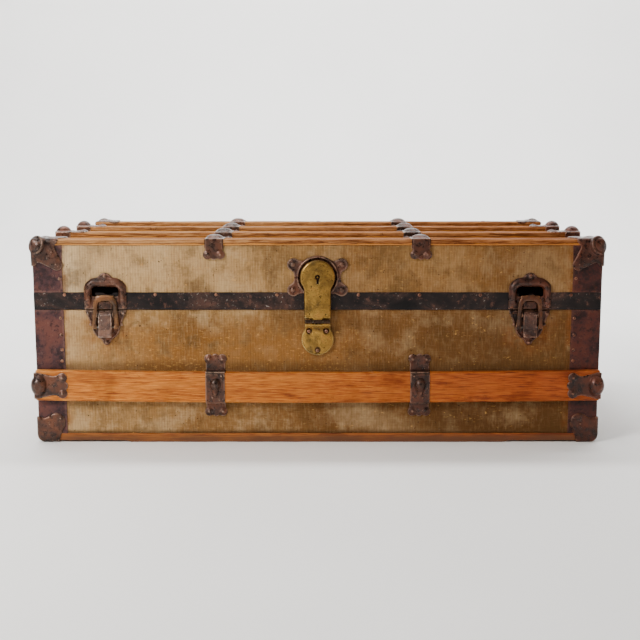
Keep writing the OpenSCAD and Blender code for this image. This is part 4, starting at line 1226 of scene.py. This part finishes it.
def top_end_field(u, s, h):
    """Clamp on an inner top slat's end: u in from the end, s across the slat, h from its top."""
    waist = 19.0 - 2.5 * ridge(u - 27, 9) + 2.5 * ridge(u, 9)
    strip = np.maximum(np.abs(s) - waist, u - 41)
    lobes = union(*[disc(u, s, (41, k * 12.5), 7.6) for k in (-1, 1)], disc(u, s, (44, 0), 6.4),
                  k=1.5)
    top = smooth_max(union(strip, lobes, k=2.5), shell(-h, -1.7, 1.5), 0.7)
    top = np.maximum(top, -u - 1.9)
    fall = union(rect(s, h, (-18, -24), (18, 10), 2), disc(s, h, (-10.5, -22.5), 7.5),
                 disc(s, h, (10.5, -22.5), 7.5), k=2)
    end = smooth_max(fall, shell(u, -1.7, 1.5), 0.7)
    skin = smooth_min(top, np.maximum(end, h - 1.7), 3.0)
    skirt = rect(u, h, (-1.7, -9.5), (25, 1.2), 3)
    skirt = smooth_max(skirt, np.abs(np.abs(s) - 23.4) - 1.3, 0.5)
    shoulder = smooth_max(rect(u, s, (-1.7, -24), (22, 24), 4), np.abs(h - 0.3) - 1.3, 0.5)
    skin = union(skin, skirt, shoulder, k=2.0)
    knob = egg(u, s, h, (8, 0, -1.5), (13.6, 13.4, 12.6))
    skin = union(skin, knob, k=2.0)
    for k in (-1, 1):
        skin = union(skin, boss(u, s, h, (41, k * 12.5), SHEET_IRON),
                     boss(s, h, -u, (k * 10.5, -23), SHEET_IRON), k=0.6)
    inside = np.minimum(np.minimum(u - 2.2, -h - 2.2), 21 - np.abs(s))
    return np.maximum(skin, inside)


top_end = set_out(net(top_end_field, (-9, -27, -34), (54, 27, 14)),
                  (TRIM_W, -inner_y, TRUNK_H), (-1, 1, 1))
fitting("top_slat_end_clamps_iron", four_corners(top_end), "lid", "top_slat_end_clamps")


# ---- Draw bolts: x from the bolt's middle, z up, p out from the trim's face --------------------


def standing(outline, p, low, high, rounding=0.8):
    """Plate over an outline between two heights, with rounded edges."""
    a, b = outline + rounding, np.abs(p - (low + high) / 2) - (high - low) / 2 + rounding
    return np.hypot(np.maximum(a, 0), np.maximum(b, 0)) + np.minimum(np.maximum(a, b), 0) - rounding


def to_front(mesh):
    """Local x, z, p to the trunk's frame."""
    return set_out(mesh, (0, -TRIM_D + 1, 0), (1, -1, 1), (0, 2, 1))


def to_bolts(mesh, side=None):
    """Local x, z, p to the trunk's frame, at both draw bolts or at one."""
    right = set_out(to_front(mesh), (BOLT_X, 0, 0))
    if side == "right":
        return right
    if side == "left":
        return mirrored(right, 0)
    return both_ends(right)


def keeper_field(x, z, p):
    outline = union(rect(x, z, (-34, 205), (34, 267), 13), rect(x, z, (-25, 250), (25, 271.5), 9),
                    disc(x, z, (0, 268.5), 11.5), k=5)
    outline = np.maximum(outline, SEAM_Z + 0.6 - z)
    rim = 0.9 * ridge(outline + 1.8, 1.2)
    window = rect(x, z, (-21.5, 241.5), (21.5, 257), 4)
    skin = standing(outline, p - rim, -1.0, 1.9)
    skin = smooth_max(skin, -np.maximum(window, 0.4 - p), 0.8)
    # Rounded frame over the window, its legs running out into the plate
    fade = np.clip((z - 221) / 16, 0.25, 1)
    arch = np.abs(rect(x, z, (-27.2, 190), (27.2, 264.2), 13))
    broad = 5.2 + 1.6 * np.clip((z - 252) / 6, 0, 1)
    frame_bar = (np.hypot(arch / broad, p / (6.8 * fade)) - 1) * 4.6
    frame_bar = np.maximum(frame_bar, SEAM_Z + 1.2 - z)
    skin = smooth_min(skin, frame_bar, 1.6)
    lug = block(x, z, p, (-10.6, 221.2, -1), (10.6, 234, 4.4), 1.8)
    skin = smooth_min(skin, lug, 1.0)
    for at, size in (((0, 273.5), 3.4), ((-29.5, 227.5), 3.2), ((29.5, 227.5), 3.2)):
        skin = union(skin, rivet(x, z, p, at, size, 2.2, 1.8), k=0.7)
    return np.maximum(skin, -p - 0.6)


KEEPER_TOP = corners("draw_bolt_keepers")[1][2]
mesh = net(keeper_field, (-37, SEAM_Z - 1, -2), (37, KEEPER_TOP + 3, 9.5), FINE)
fitting("draw_bolt_keepers_iron", to_bolts(mesh), "lid", "draw_bolt_keepers")


def bolt_plate_field(x, z, p):
    outline = union(taper(x, z, (0, 217), (0, 193), 33, 23),
                    taper(x, z, (0, 176), (0, 168), 9, 6), k=6)
    outline = np.maximum(outline, z - RIM_Z + 0.3)
    rim = 1.1 * ridge(outline + 1.9, 1.3)
    skin = standing(outline, p - rim, -2.0, 0.9)
    for side in (-1, 1):
        cheek = union(disc(z, p, (212, 6), 4.4), rect(z, p, (206.5, -1), (217.5, 6), 1), k=1)
        cheek = standing(cheek, x - side * 12.6, -0.85, 0.85, 0.5)
        skin = smooth_min(skin, cheek, 1.2)
        skin = union(skin, rivet(x, z, p, (side * 28.5, 213), 3.2, 2.2, 0.9),
                     rivet(x, z, p, (side * 24.5, 196), 2.8, 2.0, 0.9), k=0.7)
    skin = union(skin, rivet(x, z, p, (0, 166.2), 3.3, 2.4, 0.9), k=0.7)
    return np.maximum(skin, -p - 1.5)


mesh = net(bolt_plate_field, (-36, 157, -3), (36, RIM_Z + 1, 12), FINE)
fitting("draw_bolt_plates_iron", to_bolts(mesh), "base", "draw_bolt_plates")

LEVER_PIVOT = (212.0, 6.0)
HOOK_PIVOT = (192.0, 4.4)


def lever_field(x, z, p):
    head = disc(z, p, LEVER_PIVOT, 4.9)
    face = rect(z, p, (181, 2.0), (213, 10.9), 1.2)
    lip = taper(z, p, (186, 9.2), (177.8, 13.4), 2.0, 1.4)
    profile = union(head, face, k=1.5)
    profile = union(profile, lip, k=2.0)
    width = np.abs(x) - 10.7 + 0.5 * np.clip((z - 205) / 10, 0, 1)
    skin = smooth_max(profile, width, 1.2)
    hollow = rect(z, p, (178, -2), (203, 8.6), 1)
    skin = smooth_max(skin, -np.maximum(hollow, np.abs(x) - 8.6), 0.5)
    # Embossed border on the face, and a step above the thumb lip
    panel = rect(x, z, (-8.0, 189), (8.0, 213.5), 1.5)
    groove = np.hypot(panel, (p - 11.2)) - 0.8
    skin = smooth_max(skin, -groove, 0.4)
    return skin + 0.22 * wobble(x, z, p, 5.5, 91)


def hook_field(x, z, p):
    narrow = x * (1 + 0.16 * np.clip((z - 196) / 40, 0, 1))
    arch = rect(narrow, z, (-17.8, 150), (17.8, 239.2), 13)
    broad = 3.6 + 1.4 * np.clip((z - 226) / 10, 0, 1)
    skin = (np.hypot(np.abs(arch) / broad, (p - 5.7) / 1.9) - 1) * 1.8
    skin = np.maximum(skin, 190.5 - z)
    for side in (-1, 1):
        eye = np.maximum(disc(z, p, HOOK_PIVOT, 3.5), np.abs(x - side * 17.7) - 3.7)
        lip = block(x, z, p, (side * 12 - 3, 239.5, 2.4), (side * 12 + 3, 243, 6), 0.8)
        skin = smooth_min(smooth_min(skin, eye, 1.4), lip, 1.0)
    return skin


lever_mesh = net(lever_field, (-12.5, 174, 0), (12.5, 218.5, 16.5), 0.7)
hook_mesh = net(hook_field, (-23, 187, 0), (23, 246, 9.5), 0.8)
for side in ("left", "right"):
    fitting(side + "_lever_iron", to_bolts(lever_mesh, side), side + "_lever",
            side + "_draw_bolt_lever", LEVER_IRON)
    fitting(side + "_hook_iron", to_bolts(hook_mesh, side), side + "_hook",
            side + "_draw_bolt_hook", HOOK_IRON)


# ---- Lock --------------------------------------------------------------------------------------

HASP_DISC = 28.0
HASP_HALF = 21.5
HASP_PIVOT = (202.0, 12.0)
CATCH_Z = 172.0


def ring_field(x, z, p):
    spots = [(s, t) for s in (-1, 1) for t in (-21, 20)]
    ears = [disc(x, z, (s * 39.0, RING_Z + t), 9.2) for s, t in spots]
    necks = [taper(x, z, (s * 24, RING_Z + 0.6 * t), (s * 38, RING_Z + t), 14, 8)
             for s, t in spots]
    wings = rect(x, z, (-36.5, RING_Z - 16), (36.5, RING_Z + 16), 3)
    outline = union(disc(x, z, (0, RING_Z), 33.8), *necks, *ears, wings, k=6)
    outline = np.maximum(outline, 240 - z)
    rim = 0.8 * ridge(outline + 1.6, 1.1)
    skin = standing(outline, p - rim, -1.0, 1.5)
    away = np.hypot(x, z - RING_Z)
    collar = (np.hypot((away - 32.2) / 2.3, (p - 0.6) / 4.4) - 1) * 2.2
    collar = np.maximum(collar, 241 - z)
    skin = smooth_min(skin, collar, 1.0)
    skin = smooth_max(skin, -np.maximum(away - 29.4, 0.6 - p), 0.5)
    for s, t in spots:
        skin = union(skin, rivet(x, z, p, (s * 39.5, RING_Z + t), 4.0, 2.4, 1.5), k=0.5)
    return np.maximum(skin, -p - 0.6)


mesh = net(ring_field, (-52, 238, -2), (52, 310, 7), FINE)
fitting("lock_ring_iron", to_front(mesh), "lid", "lock_ring_plate")

PITS = [(-16.5, 283.5, 1.3), (16.6, 283.4, 1.4), (0.5, 254.5, 1.2), (4.2, 243, 1.9),
        (-13.5, 243, 1.1), (14.5, 252, 1.0), (12.8, 246, 1.1), (-14, 236, 1.1), (15.5, 238, 1.2),
        (13.2, 214, 1.6), (-13, 214.6, 1.4), (-2.4, 213.2, 1.0), (-17, 262, 0.9), (18.8, 270, 1.0),
        (9.5, 226, 0.9)]


def hasp_field(x, z, p):
    outline = union(disc(x, z, (0, RING_Z), HASP_DISC),
                    rect(x, z, (-HASP_HALF, 206.2), (HASP_HALF, 272), 2.5), k=3)
    skin = standing(outline, p, 4.9, 12.9, 3.9)
    skin = smooth_max(skin, p - 12.7 - 0.5 * np.clip(-outline / 20, 0, 1), 0.5)
    hollow = np.maximum(outline + 1.9, p - 11.0)
    skin = np.maximum(skin, -hollow)
    groove = np.hypot(outline + 5.2, p - 13.4) - 0.75
    skin = smooth_max(skin, -groove, 0.5)
    knuckle = np.maximum(disc(z, p, HASP_PIVOT, 3.0), np.abs(x) - 7.4)
    web = block(x, z, p, (-7.4, 202, 9.4), (7.4, 208, 12.6), 0.6)
    skin = smooth_min(skin, smooth_min(knuckle, web, 1), 0.6)
    bore = union(disc(x, z, (0, RING_Z + 0.6), 4.2), rect(x, z, (-1.8, 263.0), (1.8, 273), 0.3))
    skin = np.maximum(skin, -bore)
    bridge = block(x, z, p, (-26.5, RING_Z - 1.5, 5.2), (26.5, RING_Z + 2.7, 7.4), 0.4)
    post = standing(disc(x, z, (0, RING_Z + 0.6), 1.4), p, 6, 12.2, 0.4)
    skin = union(skin, bridge, post)
    for px, pz, size in PITS:
        skin = smooth_max(skin, -ball(x, z, p, (px, pz, 13.0), size), 0.3)
    return skin


mesh = net(hasp_field, (-30, 197, 3.5), (30, 303, 15), 0.7)
piece("hasp_brass", to_front(mesh), "hasp", BRASS, ["lock_hasp"])


def catch_field(x, z, p):
    neck = HASP_HALF - 0.5
    outline = union(disc(x, z, (0, CATCH_Z), 26.3),
                    rect(x, z, (-neck, 172), (neck, 198.6), 1.5), k=3)
    dish = 0.35 * wobble(x, z, 0, 16, 95)
    skin = standing(outline, p - dish, -2.0, 3.9, 2.0)
    groove = np.hypot(outline + 3.4, p - 4.4) - 0.8
    skin = smooth_max(skin, -groove, 0.5)
    # The neck swells forward to carry the hinge
    swell = taper(z, p, (184, -1.5), (196.6, 8.4), 4.0, 2.8)
    swell = smooth_max(swell, np.abs(x) - HASP_HALF + 0.8, 1.5)
    skin = smooth_min(skin, swell, 3.0)
    for side in (-1, 1):
        arm = union(disc(z, p, HASP_PIVOT, 3.0), taper(z, p, (197, 8.2), (201, 11), 2.4, 2.4))
        skin = smooth_min(skin, np.maximum(arm, np.abs(x - side * 14.2) - 6.1), 0.6)
    for at in CATCH_NAILS:
        skin = smooth_max(skin, -ball(x, z, p, (at[0], at[1], 8.0), 6.0), 0.8)
        skin = union(skin, rivet(x, z, p, at, 2.9, 1.6, 2.4), k=0.5)
    scratch = taper(x, z, (2.4, 168), (-1.2, 160), 0.7, 0.5)
    skin = smooth_max(skin, -np.hypot(np.maximum(scratch, 0), p - 4.3) + 0.7, 0.3)
    return np.maximum(skin, -p - 1.5)


mesh = net(catch_field, (-29, 142, -3), (29, 207, 17), 0.8)
piece("catch_brass", to_front(mesh), "base", BRASS, ["lock_catch_plate"])


# ---- Handles -----------------------------------------------------------------------------------

STRAP_LOW, STRAP_HIGH = corners("right_handle_strap")
STRAP_T = 5.0
STRAP_ARCH = 78.0
STRAP_REACH = 103.5
GRIP_REACH = 60
STRAP_BOW = STRAP_HIGH[0] - STRAP_T - STRAP_LOW[0]
STRAP_Z = (STRAP_LOW[2] + STRAP_HIGH[2]) / 2
STRAP_HALF = (STRAP_HIGH[2] - STRAP_LOW[2]) / 2


def strap_out(y):
    arch = 0.5 + 0.5 * math.cos(math.pi * min(abs(y), STRAP_ARCH) / STRAP_ARCH)
    return STRAP_LOW[0] + STRAP_BOW * arch


def strap_frame(y):
    """Middle of the strap at y, and the directions out of its face and along it."""
    slope = strap_out(y + 0.5) - strap_out(y - 0.5)
    along = np.array([slope, 1.0, 0.0]) / math.hypot(slope, 1.0)
    outward = np.array([along[1], -along[0], 0.0])
    return np.array([strap_out(y) + STRAP_T / 2, y, STRAP_Z]), outward, along


def strap_narrow(y):
    """Share of the strap's width left at y: it narrows towards the grip."""
    return 1 - 0.12 * math.cos(math.pi * y / (2 * STRAP_ARCH)) if abs(y) < STRAP_ARCH else 1.0


def strap_layer(inner, outer, half, reach):
    """One thickness of leather in the handle, following its arch."""
    rings = []
    thick = outer - inner
    section, _ = loop_path(thick / 2, half, min(1.0, thick / 2.2), 4)
    for y in np.arange(-reach, reach + 0.1, 3.0):
        middle, out, _ = strap_frame(y)
        narrow = strap_narrow(y)
        ripple = 0.25 * wobble(y, inner * 9, 0, 40, 71)
        rings.append([middle + out * ((inner + outer) / 2 + a) + [0, 0, b * narrow + ripple]
                      for a, b in section])
    return tube(rings)


def strap_mesh():
    """Two plies of harness leather with a rounded filler down the middle."""
    plies = [strap_layer(-2.4, -0.1, STRAP_HALF, STRAP_REACH),
             strap_layer(0.1, 2.2, STRAP_HALF - 0.4, STRAP_REACH)]
    filler = strap_layer(1.4, 3.6, STRAP_HALF * 0.5, GRIP_REACH)
    return joined([*plies, filler])


def stitch(at, out, along):
    """One waxed stitch: a spindle lying along the strap."""
    rings = []
    for t in np.linspace(-1, 1, 7):
        size = 0.62 * math.sqrt(max(0.02, 1 - t * t))
        rings.append([at + along * t * 1.9 + out * size * math.cos(a) + [0, 0, size * math.sin(a)]
                      for a in np.linspace(0, 2 * math.pi, 8, endpoint=False)])
    return tube(rings)


def stitch_mesh():
    """Two rows of stitches along the grip."""
    stitches = []
    for y in np.arange(-58, 58.1, 5.2):
        middle, out, along = strap_frame(y)
        for row in (-1, 1):
            rise = row * (STRAP_HALF * strap_narrow(y) - 3.6)
            stitches.append(stitch(middle + out * 2.2 + [0, 0, rise], out, along))
    return joined(stitches)


def thread_material():
    s = Shade("waxed_thread", rough=0.7)
    ply = s.band(s.sine(s.times(s.parts()[1], 5000.0)), -0.5, 0.8)
    colour = s.mix(ply, "5A452D", "A48A60")
    colour = s.mix(s.band(s.noise(90.0), 0.45, 0.65, 0.0, 0.7), colour, "3A2A1B")
    return s.finish(colour, ply, 0.0002)


THREAD = thread_material()
for side, mirror in (("left", (0,)), ("right", ())):
    piece(side + "_strap_leather", mirrored(strap_mesh(), *mirror), "base", LEATHER,
          [side + "_handle_strap"], sharp=50)
    piece(side + "_strap_stitches", mirrored(stitch_mesh(), *mirror), "base", THREAD)

plate_boxes = solids("handle_end_caps")
PLATE_LOW, PLATE_HIGH = [(low, high) for low, high in plate_boxes if low[0] > 0 > low[1]][0]


def handle_cap_field(a, z, out):
    """Stamped end cap: a runs in from its outer end, z up and out away from the canvas."""
    long, half = PLATE_HIGH[1] - PLATE_LOW[1], (PLATE_HIGH[2] - PLATE_LOW[2]) / 2
    outline = union(rect(a, z, (0, -half), (long, half), 9), disc(a, z, (2, 0), 9), k=4)
    outline = np.maximum(outline, -a + 0.3)
    rim = 0.7 * ridge(outline + 1.7, 1.1)
    skin = standing(outline, out - rim, -2.0, 1.7)
    pocket = block(a, z, out, (9, -18.4, -3), (38, 18.4, 8.4), 3.4)
    skin = smooth_min(skin, pocket, 3.0)
    ribs = np.hypot(a - 38, out - 7.0) - 1.5
    skin = smooth_min(skin, np.maximum(ribs, np.abs(z) - 16.5), 1.0)
    for at in ((4.8, 0), (46, -17), (46, 17), (6.5, -17), (6.5, 17)):
        skin = union(skin, rivet(a, z, out, at, 2.8, 2.0, 1.6), k=0.7)
    skin = union(skin, egg(a, z, out, (24, 0, 7.6), (8, 10, 1.8)), k=1.5)
    return np.maximum(skin, -out - 0.8)


mesh = net(handle_cap_field, (-1, -25, -2), (54, 25, 12), FINE)
handle_cap = set_out(mesh, (HALF_W, PLATE_LOW[1], STRAP_Z), order=(2, 0, 1))
fitting("handle_caps_iron", four_corners(handle_cap), "base", "handle_end_caps")


# ---- Hinge rivets and tray tapes ---------------------------------------------------------------

LEAF_RIVETS = (
    ("base", HALF_D + 1.5, ((-20, -38), (20, -38), (0, -22), (-20, -12), (20, -12))),
    ("lid", TRIM_D + 0.5, ((-20, 46), (20, 46), (0, 30), (-20, 17), (20, 17))),
)
for body, face, places in LEAF_RIVETS:
    rivets = [dome(((low[0] + high[0]) / 2 + dx, face, SEAM_Z + dz), (0, 1, 0), 3.3, 1.9)
              for low, high in solids("hinge_base_leaves") for dx, dz in places]
    piece("hinge_rivets_" + body, joined(rivets), body, NAILS)


def tape_mesh(low, high):
    """Doubled pull tape tacked to the tray's end, a little slack in its middle."""
    rings = []
    inward = -1 if low[0] > 0 else 1
    wall = high[0] if low[0] > 0 else low[0]
    for z in np.linspace(low[2], high[2], 24):
        share = (z - low[2]) / (high[2] - low[2])
        out = 0.7 + 0.5 * math.sin(math.pi * share) ** 2
        ys = np.linspace(low[1] + 0.4, high[1] - 0.4, 9)
        near = [[wall + inward * (out - 0.6), y, z] for y in ys]
        far = [[wall + inward * (out + 0.15 * math.sin(y)), y, z] for y in ys[::-1]]
        rings.append(near + far)
    return tube(rings)


for number, (low, high) in enumerate(solids("tray_tapes")):
    tape = piece("tray_tape_%d" % number, tape_mesh(low, high), "tray", TAPE,
                 ["tray_tapes"], sharp=50)


# ---- Floor, lights and camera ------------------------------------------------------------------

SWEEP_Y, SWEEP_R, SWEEP_HALF, SWEEP_TOP = 2.2, 1.2, 14, 9


def sweep():
    """Floor that curves up into a backdrop behind the trunk, in metres."""
    rings = [(y, 0) for y in (-12, -6, -2, 1.5, SWEEP_Y)]
    rings += [(SWEEP_Y + SWEEP_R * math.sin(a), SWEEP_R - SWEEP_R * math.cos(a))
              for a in np.linspace(0, math.pi / 2, 12)[1:]]
    rings.append((SWEEP_Y + SWEEP_R, SWEEP_TOP))
    vertices = [(x, y, z) for y, z in rings for x in (-SWEEP_HALF, SWEEP_HALF)]
    return vertices, [(2 * i, 2 * i + 1, 2 * i + 3, 2 * i + 2) for i in range(len(rings) - 1)]


points, quads = sweep()
sheet = bpy.data.meshes.new("studio_sweep")
sheet.from_pydata(points, [], quads)
sheet.materials.append(floor_material())
sheet.shade_smooth()
floor = placed("studio_sweep", sheet)


def area_light(name, at, target, size, power, colour=(1, 1, 1)):
    light = bpy.data.lights.new(name, "AREA")
    light.shape = "RECTANGLE"
    light.size, light.size_y = size
    light.energy = power
    light.color = colour
    lamp = placed(name, light)
    lamp.location = at
    heading = Vector(target) - Vector(at)
    lamp.rotation_euler = heading.to_track_quat("-Z", "Y").to_euler()


area_light("key", (-1.45, -1.55, 1.35), (-0.2, -0.25, 0.17), (0.7, 0.55), 52, (1.0, 0.97, 0.93))
area_light("top", (-0.7, 0.2, 2.4), (0, 0.1, 0.2), (2.4, 1.6), 26)
area_light("warm", (2.2, -1.7, 0.8), (0.3, -0.2, 0.15), (1.0, 1.0), 9, (1.0, 0.72, 0.45))
area_light("backdrop", (0, 0.9, 3.2), (0, 3.4, 1.0), (5.0, 1.2), 330)


def studio_world():
    """Soft even light, paler where the camera looks past the floor."""
    world = bpy.data.worlds.new("studio")
    world.use_nodes = True
    tree = world.node_tree
    background = tree.nodes["Background"]
    background.inputs["Color"].default_value = (1.0, 1.0, 1.0, 1.0)
    strength = tree.nodes.new("ShaderNodeMapRange")
    strength.inputs["To Min"].default_value = ROOM_LIGHT
    strength.inputs["To Max"].default_value = HORIZON
    seen = tree.nodes.new("ShaderNodeLightPath").outputs["Is Camera Ray"]
    tree.links.new(seen, strength.inputs["Value"])
    tree.links.new(strength.outputs[0], background.inputs["Strength"])
    bpy.context.scene.world = world


studio_world()

CAMERA_AT = (0.0039, -1.945, 0.4555)
CAMERA_PITCH = math.radians(8.55)
FOCAL_LENGTH = 59.06
lens = bpy.data.cameras.new("camera")
lens.lens = FOCAL_LENGTH
lens.sensor_width = 36.0
camera = placed("camera", lens)
camera.location = CAMERA_AT
camera.rotation_euler = (math.pi / 2 - CAMERA_PITCH, 0, 0)
bpy.context.scene.camera = camera
